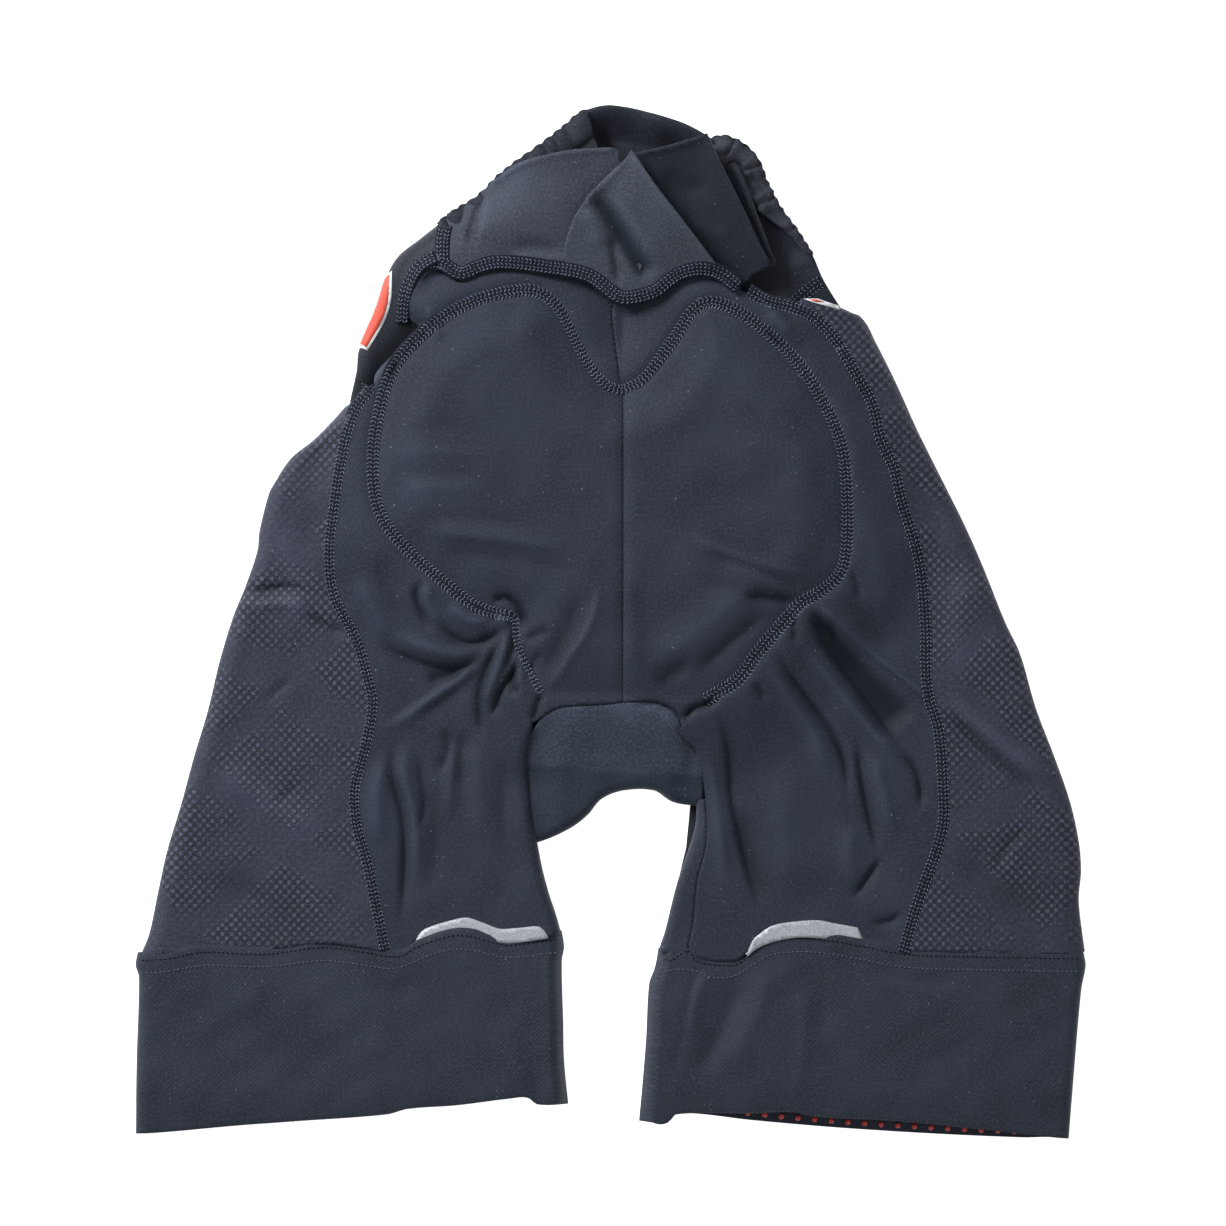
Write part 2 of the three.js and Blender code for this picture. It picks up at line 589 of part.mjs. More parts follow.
function buildLeg(side) {
  const { name, sign } = side;
  const hull = tube(legRows, legSection(side), CLOTH);
  const trim = tube(legRows, legSection(side), STITCH, trimMiddle(STITCH)).intersect(aboveEdge);
  const film = tube(legRows, legSection(side), TAB, trimMiddle(TAB)).intersect(aboveEdge);
  const overLine = (shift) => swept(acrossLeg(side, side.cuffLine, shift), 0, FAR);
  const underLine = (shift) => swept(acrossLeg(side, side.cuffLine, shift), 0, -FAR);
  const panels = hull.intersect(overLine(half));
  const outside = swept(legPath(side.seam, sign * half), sign * FAR, 0);
  const inside = swept(legPath(side.seam, -sign * half), -sign * FAR, 0);
  const { rear, front } = legPanels(side, panels.intersect(inside));
  add(`rear_panel_leg_${name}`, rear, KNIT);
  add(`front_panel_leg_${name}`, front, KNIT);
  add(`side_panel_leg_${name}`, panels.intersect(outside), EMBOSSED_KNIT);

  const foot = side.cuffLine(side.seam(-142 * along)); // where the side seam meets the cuff
  const seamBand = ribbon(climb(side.seam, foot + 1, foldBelow - 1, 8), SEAM_BAND);
  add(`side_seam_leg_${name}`, trim.intersect(prism(seamBand)), THREAD);
  if (side.inseam) {
    const band = ribbon(seatPath(side.inseam, -138, -82, 8), THIN_SEAM_BAND);
    add(`inseam_${name}`, trim.intersect(prism(band)), THREAD);
  }

  // Top band of the cuff, its wavy seam and the reflective tab that is caught in it.
  add(`cuff_top_band_${name}`, hull.intersect(underLine(-half)), CUFF_KNIT);
  const seamOver = underLine(-half).subtract(underLine(-SEAM_BAND));
  add(`cuff_seam_${name}`, trim.intersect(seamOver), THREAD);
  add(`reflective_tab_${name}`, film.intersect(tabPlan(side)).intersect(overLine(half)), REFLECTIVE);
}

/** Plan of a reflective tab: a low arch over the cuff seam. */
function tabPlan(side) {
  const [from, to] = side.tab.map((x) => x * across);
  const arch = steps(12).map((s) => {
    const x = lerp(from, to, s);
    return [x, side.cuffLine(x) + 2 * GAP + TAB_HEIGHT * Math.sin(Math.PI * s) ** 0.6];
  });
  const foot = cross(side.cuffLine, to, from, 12, -1);
  return prism([...arch, ...foot]);
}

// ---- Cuffs ----

function cuffSection(side, inset) {
  return (share) => {
    const y0 = cuffFoldBelow;
    const x = (s) => lerp(side.inner(y0) + side.sign * CUFF_EDGE, side.outer(y0) - side.sign * CUFF_EDGE, s);
    const run = steps(8).map((s) => {
      const at = x(s);
      return [at, lerp(y0, side.hem(at), share)];
    });
    const radius = CUFF_EDGE - inset;
    const point = (at, y, z) => new THREE.Vector3(at, y, z);
    const middle = FLOOR_CLOTH + CUFF_EDGE;
    const fold = (end, out) => [0.25, 0.5, 0.75].map((turn) => point(
      end[0] + out * radius * Math.sin(turn * Math.PI), end[1], middle + radius * Math.cos(turn * Math.PI)));
    const top = run.map(([at, y]) => point(at, y, middle + radius));
    const bottom = run.map(([at, y]) => point(at, y, middle - radius)).reverse();
    const innerFold = fold(run[0], -side.sign).reverse();
    const outerFold = fold(run[run.length - 1], side.sign);
    return [...top, ...outerFold, ...bottom, ...innerFold];
  };
}

function buildCuff(side) {
  const { name } = side;
  const shares = steps(2);
  const cuffWall = (inset, rows, thickness) => {
    const rings = rows.map(cuffSection(side, inset));
    return wall(rings[0].length, rows.length, thickness, (i, j) => rings[j][i], true);
  };
  add(`cuff_${name}`, cuffWall(0, shares, CLOTH), CUFF_KNIT);
  const depth = cuffFoldBelow - side.hem(side.outer(cuffFoldBelow));
  const tapeInset = CLOTH / 2 + GAP + GRIPPER / 2;
  const tapeRows = [0.96 - GRIPPER_WIDTH / depth, 0.96];
  add(`gripper_tape_${name}`, cuffWall(tapeInset, tapeRows, GRIPPER), RUBBER);
}

buildSeatRear();
buildPad();
buildCrotch();
buildFront();
for (const side of [LEFT, RIGHT]) {
  buildLeg(side);
  buildCuff(side);
}

export default shorts;
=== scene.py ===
"""Cycling shorts with a sewn-in seat pad, lying on their front with the back side up.

Plan sizes are in millimetres: +X runs to the wearer's right, +Y to the waist and +Z up from the floor.
"""

import logging
import math
from collections.abc import Callable, Sequence
from dataclasses import dataclass, field
from enum import Enum

import bpy
import numpy as np
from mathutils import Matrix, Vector
from mathutils.geometry import delaunay_2d_cdt

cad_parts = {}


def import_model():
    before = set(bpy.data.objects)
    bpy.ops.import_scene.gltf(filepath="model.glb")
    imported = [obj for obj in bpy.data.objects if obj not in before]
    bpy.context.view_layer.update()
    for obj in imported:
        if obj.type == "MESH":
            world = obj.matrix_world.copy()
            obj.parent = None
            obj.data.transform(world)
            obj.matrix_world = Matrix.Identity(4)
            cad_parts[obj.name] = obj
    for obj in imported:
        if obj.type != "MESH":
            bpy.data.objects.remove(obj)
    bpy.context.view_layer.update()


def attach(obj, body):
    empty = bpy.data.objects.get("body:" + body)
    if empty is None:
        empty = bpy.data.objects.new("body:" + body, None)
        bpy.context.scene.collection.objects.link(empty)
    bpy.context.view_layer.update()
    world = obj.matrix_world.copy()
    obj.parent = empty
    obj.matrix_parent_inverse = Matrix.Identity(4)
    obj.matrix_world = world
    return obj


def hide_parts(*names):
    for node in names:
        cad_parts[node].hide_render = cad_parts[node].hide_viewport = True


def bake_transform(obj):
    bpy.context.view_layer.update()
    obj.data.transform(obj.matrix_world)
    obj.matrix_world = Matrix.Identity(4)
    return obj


LOG = logging.getLogger("shorts")
MM = 0.001
FLOOR_CLOTH = 0.6
CLOTH = 0.9
MID_CUFF = -185.0
CUFF_OVERLAP = 1.6
GRID = 0.7
Points = np.ndarray
Colour = tuple[float, float, float]
Surface = Callable[[Points, Points], Points]
Lay = Callable[[Points, Points], Points]
Rides = str | tuple[str, str]


class Side(Enum):
    """Which side of the wearer."""

    LEFT = -1
    RIGHT = 1

    @property
    def word(self) -> str:
        """The side's name in piece names."""
        return self.name.lower()


class Stitch(Enum):
    """How a seam is sewn."""

    FLATLOCK = "four rows of looped thread, the outer ones nearly along the seam"
    HERRINGBONE = "four rows of steep thread, slanted both ways"
    DASHES = "one row of short stitches"


STITCH_ROWS = {
    Stitch.FLATLOCK: (
        (-2.15, 32, 1.3, 0.46), (-0.8, -44, 1.4, 0.42), (0.8, 44, 1.4, 0.42), (2.15, -32, 1.3, 0.46),
    ),
    Stitch.HERRINGBONE: (
        (-2.15, 52, 1.75, 0.46), (-0.75, -48, 1.75, 0.44), (0.75, 48, 1.75, 0.44), (2.15, -52, 1.75, 0.46),
    ),
}

# ---- curves and outlines


def ease(low: float | Points, high: float | Points, value: float | Points) -> Points:
    """A smooth step of a value, 0 at low and 1 at high, which may be below low."""
    share = np.clip((value - low) / (high - low), 0.0, 1.0)
    return share * share * (3 - 2 * share)


def paired(x: Points, y: Points) -> Sequence[Points]:
    """Places across and along as arrays of one shape."""
    return np.broadcast_arrays(np.asarray(x, float), np.asarray(y, float))


@dataclass(frozen=True)
class Run:
    """A smooth line through knots of (at, value)."""

    knots: tuple[tuple[float, float], ...]

    def __call__(self, at: float | Points) -> Points:
        """The value at each place.

        Args:
            at: Places along the first coordinate.
        Returns:
            The line's values there.
        """
        x, v = np.array(self.knots, float).T
        at = np.asarray(at, float)
        k = np.clip(np.searchsorted(x, at), 1, len(x) - 1)
        low, high = np.maximum(np.arange(len(x)) - 1, 0), np.minimum(np.arange(len(x)) + 1, len(x) - 1)
        slope = (v[high] - v[low]) / (x[high] - x[low])
        span = x[k] - x[k - 1]
        s = np.clip((at - x[k - 1]) / span, 0, 1)
        rise = (v[k] - v[k - 1]) / span
        bend = (slope[k - 1] - rise) * (1 - s) - (slope[k] - rise) * s
        return v[k - 1] + s * (v[k] - v[k - 1]) + span * s * (1 - s) * bend


def up(run: Run, start: float, end: float, step: float = 2.0) -> Points:
    """Points (x, y) of a line that gives x for each y, from one y to another."""
    y = np.linspace(start, end, max(int(abs(end - start) / step) + 1, 2))
    return np.column_stack([run(y), y])


def level(run: Run, start: float, end: float, step: float = 2.0) -> Points:
    """Points (x, y) of a line that gives y for each x, from one x to another."""
    x = np.linspace(start, end, max(int(abs(end - start) / step) + 1, 2))
    return np.column_stack([x, run(x)])


def swung(points: Sequence[tuple[float, float]], step: float = 2.0, closed: bool = False) -> Points:
    """A smooth path through points, evenly spaced.

    Args:
        points: Knots of the path.
        step: Spacing of the result.
        closed: Whether the last knot joins the first.
    Returns:
        The path's points.
    """
    p = np.array(points, float)
    n = len(p)
    out = []
    for k in range(n if closed else n - 1):
        a, b = p[k], p[(k + 1) % n]
        before = p[(k - 1) % n] if closed else p[max(k - 1, 0)]
        after = p[(k + 2) % n] if closed else p[min(k + 2, n - 1)]
        t = np.linspace(0, 1, 13)[:-1, None]
        m0, m1 = (b - before) / 2, (after - a) / 2
        out.append(
            (2 * t**3 - 3 * t**2 + 1) * a
            + (t**3 - 2 * t**2 + t) * m0
            + (3 * t**2 - 2 * t**3) * b
            + (t**3 - t**2) * m1
        )
    out.append(p[:1] if closed else p[-1:])
    return evenly(np.concatenate(out), step)


def evenly(path: Points, step: float) -> Points:
    """A path at an even spacing.

    Args:
        path: The path.
        step: Wanted spacing.
    Returns:
        Points on it.
    """
    gone = np.concatenate([[0], np.cumsum(np.linalg.norm(np.diff(path, axis=0), axis=1))])
    at = np.linspace(0, gone[-1], max(int(round(gone[-1] / step)), 1) + 1)
    return np.column_stack([np.interp(at, gone, path[:, k]) for k in range(path.shape[1])])


def spaced(parts: Sequence[Points | tuple], gap: float) -> list[Points]:
    """Points of parts that follow each other, without those that nearly coincide.

    Args:
        parts: Runs of points in order, or tuples of knots, which are swung.
        gap: Least distance between two points.
    Returns:
        The points that are kept.
    """
    every = np.concatenate([swung(part) if isinstance(part, tuple) else part for part in parts])
    kept = [every[0]]
    for point in every[1:]:
        if np.linalg.norm(point - kept[-1]) > gap:
            kept.append(point)
    return kept


def joined(*parts: Points | tuple) -> Points:
    """One closed outline, anticlockwise, from runs of points in order."""
    kept = spaced(parts, 0.5)
    while np.linalg.norm(kept[-1] - kept[0]) < 0.5:
        kept.pop()
    outline = np.array(kept)
    return outline if turned_area(outline) > 0 else outline[::-1]


def followed(*parts: Points | tuple) -> Points:
    """One open path from runs of points in order."""
    return np.array(spaced(parts, 0.6))


def turned_area(outline: Points) -> float:
    """Area inside an outline, negative if it runs clockwise."""
    x, y = outline.T
    return float(np.sum(x * np.roll(y, -1) - np.roll(x, -1) * y)) / 2


def closed(outline: Points) -> Points:
    """An outline's points with the first one again at the end."""
    return np.vstack([outline, outline[:1]])


def nearest(x: Points, y: Points, path: Points) -> tuple[Points, Points, Points]:
    """How places lie to a path.

    Args:
        x: Places across.
        y: Places along.
        path: The path.
    Returns:
        Distance to it, share of its length gone by there, and side, 1 on its left and -1 on its right.
    """
    start, run = path[:-1], np.diff(path, axis=0)
    length = np.maximum(np.linalg.norm(run, axis=1), 1e-9)
    gone = np.concatenate([[0], np.cumsum(length)])
    best, share, side = np.full(x.shape, 1e9), np.zeros(x.shape), np.ones(x.shape)
    for k in range(len(run)):
        dx, dy = x - start[k, 0], y - start[k, 1]
        t = np.clip((dx * run[k, 0] + dy * run[k, 1]) / length[k] ** 2, 0, 1)
        off = np.hypot(dx - t * run[k, 0], dy - t * run[k, 1])
        closer = off < best
        best = np.where(closer, off, best)
        share = np.where(closer, (gone[k] + t * length[k]) / gone[-1], share)
        side = np.where(closer, np.where(run[k, 0] * dy - run[k, 1] * dx >= 0, 1.0, -1.0), side)
    return best, share, side


def inside(x: Points, y: Points, outline: Points) -> Points:
    """Which places lie inside an outline.

    Args:
        x: Places across.
        y: Places along.
        outline: Closed outline.
    Returns:
        True where inside.
    """
    within = np.zeros(x.shape, bool)
    for (ax, ay), (bx, by) in zip(outline, np.roll(outline, -1, axis=0)):
        if ay == by:
            continue
        crosses = (ay > y) != (by > y)
        within ^= crosses & (x < (bx - ax) * (y - ay) / (by - ay) + ax)
    return within


# ---- how the cloth lies


@dataclass(frozen=True)
class Fold:
    """A ridge or valley in the cloth along a path, steeper on one side if it leans."""

    path: tuple[tuple[float, float], ...]
    height: float
    width: float
    lean: float = 0.0
    taper: float = 0.3
    power: float = 1.6
    spread: float = 0.0

    def __call__(self, x: Points, y: Points) -> Points:
        """How much the cloth rises.

        Args:
            x: Places across.
            y: Places along.
        Returns:
            The rise, negative in a valley.
        """
        rise = np.zeros(x.shape)
        line = swung(self.path, 3.0)
        reach = self.width * (1 + self.spread) * (3.2 if self.power > 1.5 else 5.0)
        low, high = line.min(axis=0) - reach, line.max(axis=0) + reach
        near = (x > low[0]) & (x < high[0]) & (y > low[1]) & (y < high[1])
        off, share, side = nearest(x[near], y[near], line)
        wide = self.width * (1 + self.lean * side) * (1 + self.spread * share)
        ends = ease(0, self.taper, share) * ease(1, 1 - self.taper, share) if self.taper else 1.0
        rise[near] = self.height * np.exp(-((off / wide) ** self.power)) * ends
        return rise


def ripple(x: Points, y: Points, size: float, seed: int) -> Points:
    """A gentle unevenness made of a few waves.

    Args:
        x: Places across.
        y: Places along.
        size: Typical spacing of its humps.
        seed: Picks the waves.
    Returns:
        About -1 to 1.
    """
    maker = np.random.default_rng(seed)
    total = np.zeros(np.shape(x))
    for _ in range(6):
        turn, phase, scale = maker.uniform(0, math.tau), maker.uniform(0, math.tau), maker.uniform(0.7, 1.5)
        along = x * math.cos(turn) + y * math.sin(turn)
        total = total + np.sin(along * math.tau / (size * scale) + phase)
    return total / 3


@dataclass
class Roll:
    """A folded edge, where the cloth turns over and runs back underneath."""

    edge: Run
    side: int
    radius: Callable[[Points], Points] | float = 9.0
    under: Callable[[Points], Points] | float = FLOOR_CLOTH

    def round(self, y: Points) -> Points:
        """Radius of the fold at each y."""
        return self.radius(y) if callable(self.radius) else np.full(np.shape(y), float(self.radius))

    def below(self, y: Points) -> Points:
        """Height of the cloth underneath, at each y."""
        return self.under(y) if callable(self.under) else np.full(np.shape(y), float(self.under))

    def unrolled(self, y: Points, top: Surface, tail: float) -> Points:
        """Where a panel's cut edge lies in its flat plan.

        Args:
            y: Places along.
            top: Height of the upper layer.
            tail: How far the cloth runs back underneath.
        Returns:
            The plan's x at each y.
        """
        edge, radius = self.edge(y), self.round(y)
        half = np.maximum((top(edge - self.side * radius, y) - self.below(y)) / 2, 0.05)
        turn = math.pi * np.sqrt((radius**2 + half**2) / 2)
        return edge + self.side * (turn - radius + tail)

    def __call__(self, q: Points, y: Points, top: Surface) -> tuple[Points, Points]:
        """Folds plan places over the edge.

        Args:
            q: Plan places across.
            y: Places along.
            top: Height of the upper layer.
        Returns:
            x and z of each place.
        """
        edge, below, radius = self.edge(y), self.below(y), self.round(y)
        upper = edge + self.side * np.minimum(self.side * (q - edge), -radius)
        height = top(upper, y)
        half = np.maximum((height - below) / 2, 0.02)
        turn = math.pi * np.sqrt((radius**2 + half**2) / 2)
        gone = self.side * (q - edge) + radius
        angle = math.pi * np.clip(gone / turn, 0, 1)
        back = np.maximum(gone - turn, 0)
        x = np.where(gone <= 0, q, edge + self.side * (radius * (np.sin(angle) - 1) - back))
        z = np.where(gone <= 0, height, below + half * (1 + np.cos(angle)))
        return x, z


class Hanging:
    """A smooth surface through a few points that hold the cloth up."""

    def __init__(self, points: Sequence[tuple[float, float, float]], folds: Sequence[Fold] = ()) -> None:
        """Fits the surface.

        Args:
            points: Places (x, y) and heights.
            folds: Folds added to it.
        """
        p = np.array(points, float)
        self.at, self.folds = p[:, :2], folds
        n = len(p)
        bend = self._bend(self.at[:, 0], self.at[:, 1]) + np.eye(n) * 40.0
        plane = np.column_stack([np.ones(n), self.at])
        system = np.block([[bend, plane], [plane.T, np.zeros((3, 3))]])
        self.weights = np.linalg.solve(system, np.concatenate([p[:, 2], np.zeros(3)]))

    def _bend(self, x: Points, y: Points) -> Points:
        """The bending term between places and the held points, one row a place."""
        square = (x[..., None] - self.at[:, 0]) ** 2 + (y[..., None] - self.at[:, 1]) ** 2
        return square * np.log(np.maximum(square, 1e-6)) / 2

    def __call__(self, x: Points, y: Points) -> Points:
        """Height at each place.

        Args:
            x: Places across.
            y: Places along.
        Returns:
            Heights.
        """
        x, y = np.asarray(x, float), np.asarray(y, float)
        n = len(self.at)
        z = self._bend(x, y) @ self.weights[:n] + self.weights[n] + self.weights[n + 1] * x
        z = z + self.weights[n + 2] * y
        return sum((fold(x, y) for fold in self.folds), z)


# ---- shader building


def maths(operation: str, flipped: bool = False) -> Callable[..., "Wire"]:
    """A method of a wire that adds one Math node.

    Args:
        operation: The node's operation.
        flipped: Whether the wire comes last.
    Returns:
        The method.
    """

    def method(wire: "Wire", *others: "Wire | float") -> "Wire":
        """Adds the node and returns its result."""
        values = (*others, wire) if flipped else (wire, *others)
        return wire.bench.node("Math", {"operation": operation}, dict(enumerate(values)))

    return method


class Wire:
    """A shader socket that can be used in Python expressions."""

    __add__ = maths("ADD")
    __radd__ = maths("ADD", True)
    __sub__ = maths("SUBTRACT")
    __rsub__ = maths("SUBTRACT", True)
    __mul__ = maths("MULTIPLY")
    __rmul__ = maths("MULTIPLY", True)
    wave = maths("SINE")
    size = maths("ABSOLUTE")
    part = maths("FRACT")
    most = maths("MAXIMUM")

    def __init__(self, bench: "Bench", socket: bpy.types.NodeSocket) -> None:
        """Keeps the socket and the node tree it is in."""
        self.bench, self.socket = bench, socket

    def step(self, low: float, high: float) -> "Wire":
        """A smooth step.

        Args:
            low: Where it is 0.
            high: Where it is 1.
        Returns:
            0 to 1.
        """
        if high < low:
            return 1 - self.step(high, low)
        settings = {"interpolation_type": "SMOOTHSTEP"}
        return self.bench.node("MapRange", settings, {"Value": self, "From Min": low, "From Max": high})


@dataclass
class Bench:
    """A material's node tree."""

    material: bpy.types.Material

    @classmethod
    def named(cls, name: str) -> "Bench":
        """An empty node material of that name."""
        material = bpy.data.materials.new(name)
        material.use_nodes = True
        material.node_tree.nodes.clear()
        return cls(material)

    def node(self, kind: str, settings: dict, values: dict, out: int | str = 0) -> Wire:
        """Adds a node.

        Args:
            kind: Its type, without ShaderNode.
            settings: Its properties, set first.
            values: Numbers, colours or wires for its inputs, by name or number.
            out: Which output is wanted.
        Returns:
            That output.
        """
        made = self.material.node_tree.nodes.new(f"ShaderNode{kind}")
        for name, value in settings.items():
            setattr(made, name, value)
        for name, value in values.items():
            if isinstance(value, Wire):
                self.material.node_tree.links.new(value.socket, made.inputs[name])
            else:
                made.inputs[name].default_value = value
        return Wire(self, made.outputs[out])

    def place(self, flat: bool) -> Wire:
        """Coordinates in metres, along the cloth if flat and else the object's own."""
        if flat:
            return self.node("UVMap", {"uv_map": "cloth"}, {})
        return self.node("TexCoord", {}, {}, "Object")

    def noise(self, at: Wire, scale: float, detail: float = 2.0, rough: float = 0.5) -> Wire:
        """Noise, 0 to 1, with so many humps to the metre and finer octaves on them."""
        values = {"Vector": at, "Scale": scale, "Detail": detail, "Roughness": rough}
        return self.node("TexNoise", {}, values)

    def axes(self, at: Wire) -> tuple[Wire, Wire]:
        """The first two numbers of a coordinate."""
        split = self.node("SeparateXYZ", {}, {0: at})
        return split, Wire(self, split.socket.node.outputs[1])

    def blend(self, share: Wire | float, low: tuple | Wire, high: tuple | Wire) -> Wire:
        """Mixes two colours.

        Args:
            share: How much of the second.
            low: First colour.
            high: Second colour.
        Returns:
            The mix.
        """
        settings = {"data_type": "RGBA", "clamp_factor": True}
        low = low if isinstance(low, Wire) else (*low, 1.0)
        high = high if isinstance(high, Wire) else (*high, 1.0)
        return self.node("Mix", settings, {0: share, 6: low, 7: high}, 2)

    def bump(self, height: Wire, depth: float, strength: float = 1.0) -> Wire:
        """A normal that follows a height, where 1 stands for so many metres."""
        return self.node("Bump", {}, {"Strength": strength, "Distance": depth, "Height": height})

    def stretch(self, base: Wire, darken: float, dark: Colour, lighten: float, light: Colour) -> Wire:
        """Mixes in a painted shade colour in fold valleys and a painted highlight colour over fold ridges,
        by the stretch attribute.
        """
        # the stretch attribute holds painted fold shade (negative) and painted highlight (positive)
        fold_shade = self.node("Attribute", {"attribute_name": "stretch"}, {}, "Fac")
        return self.blend(fold_shade * lighten, self.blend(fold_shade * -darken, base, dark), light)

    def linted(self, base: Wire, at: Wire, amount: float, patches: float) -> Wire:
        """Adds specks of lint, in so many patches to the metre."""
        specks = self.noise(at, 700, 0).step(0.79, 0.85) * self.noise(at, patches, 1).step(0.45, 0.62)
        return self.blend(specks * amount, base, (0.3, 0.32, 0.36))

    def finish(
        self, colour: Wire | tuple, rough: Wire | float, normal: Wire | None = None, **fixed: object
    ) -> None:
        """Adds the shader and the output.

        Args:
            colour: Base colour.
            rough: Roughness.
            normal: Normal, if it has one.
            fixed: Values set on the shader's own sockets.
        """
        values = {"Base Color": colour if isinstance(colour, Wire) else (*colour, 1.0), "Roughness": rough}
        if normal is not None:
            values["Normal"] = normal
        values |= {name.replace("_", " "): value for name, value in fixed.items()}
        shader = self.node("BsdfPrincipled", {}, values)
        output = self.material.node_tree.nodes.new("ShaderNodeOutputMaterial")
        self.material.node_tree.links.new(shader.socket, output.inputs["Surface"])


def times(colour: Colour, share: float) -> Colour:
    """A colour made lighter or darker."""
    return tuple(share * c for c in colour)


@dataclass(frozen=True)
class Knit:
    """Smooth stretch knit, with its fine wales, slow tone changes and a little lint."""

    name: str
    colour: Colour
    sheen: float = 0.1
    lint: float = 1.0
    wale: float = 1900.0

    def made(self) -> bpy.types.Material:
        """The material."""
        b = Bench.named(self.name)
        at = b.place(True)
        x, y = b.axes(at)
        slow = b.noise(at, 28, 3)
        grain = b.noise(at, 1500, 3, 0.75)
        wales = (x * self.wale * 2.1).wave() * (y * self.wale * 2.1).wave()
        tone = b.blend(slow.step(0.3, 0.7), times(self.colour, 0.75), times(self.colour, 1.2))
        fleck = b.noise(at, 850, 1, 0.6).step(0.42, 0.72)
        grained = b.blend(grain.step(0.35, 0.75) * 0.3 + fleck * 0.55, tone, times(self.colour, 2.1))
        # Painted shade in fold valleys and painted highlight over fold ridges, from the stretch attribute.
        valley_shade = (0.08 * self.colour[0], 0.17 * self.colour[1], 0.26 * self.colour[2])
        fold_shade = b.stretch(grained, 0.95, valley_shade, 0.8, times(self.colour, 2.3))
        b.finish(
            b.linted(fold_shade, at, 0.32 * self.lint, 90), (grain - 0.5) * 0.25 + 0.62,
            b.bump(wales * 0.35 + grain * 1.2 + slow * 0.5, 0.00022, 0.8),
            Sheen_Weight=self.sheen, Sheen_Roughness=0.4, Sheen_Tint=(0.62, 0.7, 0.85, 1),
            Specular_IOR_Level=0.2,
        )
        return b.material


@dataclass(frozen=True)
class Embossed:
    """Side panel knit: raised dots in diamond fields, with plain bands between them."""

    name: str
    colour: Colour
    dot: Colour
    pitch: float = 0.0040

    def made(self) -> bpy.types.Material:
        """The material."""
        b = Bench.named(self.name)
        at = b.place(True)
        x, y = b.axes(at)
        warp = b.noise(at, 60, 1) * 0.0012
        across = (x + warp) * (math.tau / self.pitch)
        along = (y + warp) * (math.tau / (self.pitch * 1.05))
        cells = across.wave() * along.wave()
        sway = b.noise(at, 14, 2) * 0.055
        one = ((x * 0.75 + y + sway) * 14.0).part()
        two = ((x * 0.75 - y - sway) * 14.0).part()
        plain = ((one - 0.5).size().step(0.17, 0.1)).most((two - 0.5).size().step(0.13, 0.06))
        worn = b.noise(at, 38, 3, 0.6).step(0.33, 0.55)
        shown = (1 - plain * 0.9) * (0.25 + 0.75 * worn)
        raised_dots = cells.step(-0.05, 0.45) * shown
        grain = b.noise(at, 1000, 3, 0.75)
        fleck = b.noise(at, 620, 1, 0.6).step(0.4, 0.7)
        slow = b.noise(at, 22, 3)
        tone = b.blend(slow.step(0.3, 0.7), times(self.colour, 0.8), times(self.colour, 1.2))
        ground = b.blend(grain.step(0.3, 0.75) * 0.35 + fleck * 0.35, tone, times(self.colour, 3.0))
        # Painted shade in the sunken cells and painted highlight on the raised dots.
        hollow_shaded = b.blend(cells.step(-0.05, -0.5) * shown * 0.7, ground, times(self.colour, 0.35))
        dotted = b.blend(raised_dots * (0.24 + 0.5 * fleck), hollow_shaded, self.dot)
        # Painted shade in fold valleys and painted highlight over fold ridges, from the stretch attribute.
        fold_shade = b.stretch(dotted, 0.8, times(self.colour, 0.3), 0.6, self.dot)
        b.finish(
            b.linted(fold_shade, at, 0.35, 80), 0.66 - raised_dots * 0.1,
            b.bump(raised_dots * 1.0 + grain * 0.55 + slow * 0.3, 0.0006, 0.9),
            Sheen_Weight=0.1, Sheen_Roughness=0.45, Sheen_Tint=(0.66, 0.7, 0.82, 1), Specular_IOR_Level=0.3,
        )
        return b.material


@dataclass(frozen=True)
class Thread:
    """Sewing thread, or the close rows of it on a seam band."""

    name: str
    colour: Colour
    light: Colour
    rough: float = 0.5

    def made(self) -> bpy.types.Material:
        """The material."""
        b = Bench.named(self.name)
        at = b.place(False)
        fibre = b.noise(at, 2600, 2, 0.7)
        patch = b.noise(at, 700, 1)
        # Lighter flecks over the thread's own colour, painted as glints on its fibres.
        colour = b.blend(fibre.step(0.4, 0.8) * patch.step(0.35, 0.65), self.colour, self.light)
        b.finish(
            colour, self.rough, b.bump(fibre, 0.00015, 0.7),
            Sheen_Weight=0.06, Sheen_Roughness=0.4, Sheen_Tint=(0.55, 0.65, 0.85, 1),
            Specular_IOR_Level=0.15,
        )
        return b.material


@dataclass(frozen=True)
class Silver:
    """Reflective film: pale grey beads with a rougher darker rim."""

    name: str = "reflective_film"

    def made(self) -> bpy.types.Material:
        """The material."""
        b = Bench.named(self.name)
        at = b.place(False)
        beads = b.noise(at, 1600, 2, 0.8)
        worn = b.noise(at, 150, 3)
        colour = b.blend(beads.step(0.3, 0.75), (0.26, 0.28, 0.31), (0.5, 0.53, 0.58))
        worn_colour = b.blend(worn.step(0.55, 0.75) * 0.5, colour, (0.2, 0.21, 0.24))
        b.finish(worn_colour, 0.42, b.bump(beads, 0.0002, 0.6), Metallic=0.15)
        return b.material


@dataclass(frozen=True)
class Paint:
    """Even rubbery or printed finish with a fine grain."""

    name: str
    colour: Colour
    rough: float = 0.5

    def made(self) -> bpy.types.Material:
        """The material."""
        b = Bench.named(self.name)
        at = b.place(False)
        grain = b.noise(at, 900, 3, 0.7)
        colour = b.blend(grain.step(0.35, 0.7), times(self.colour, 0.82), self.colour)
        b.finish(colour, self.rough + (grain - 0.5) * 0.2, b.bump(grain, 0.00012, 0.5))
        return b.material


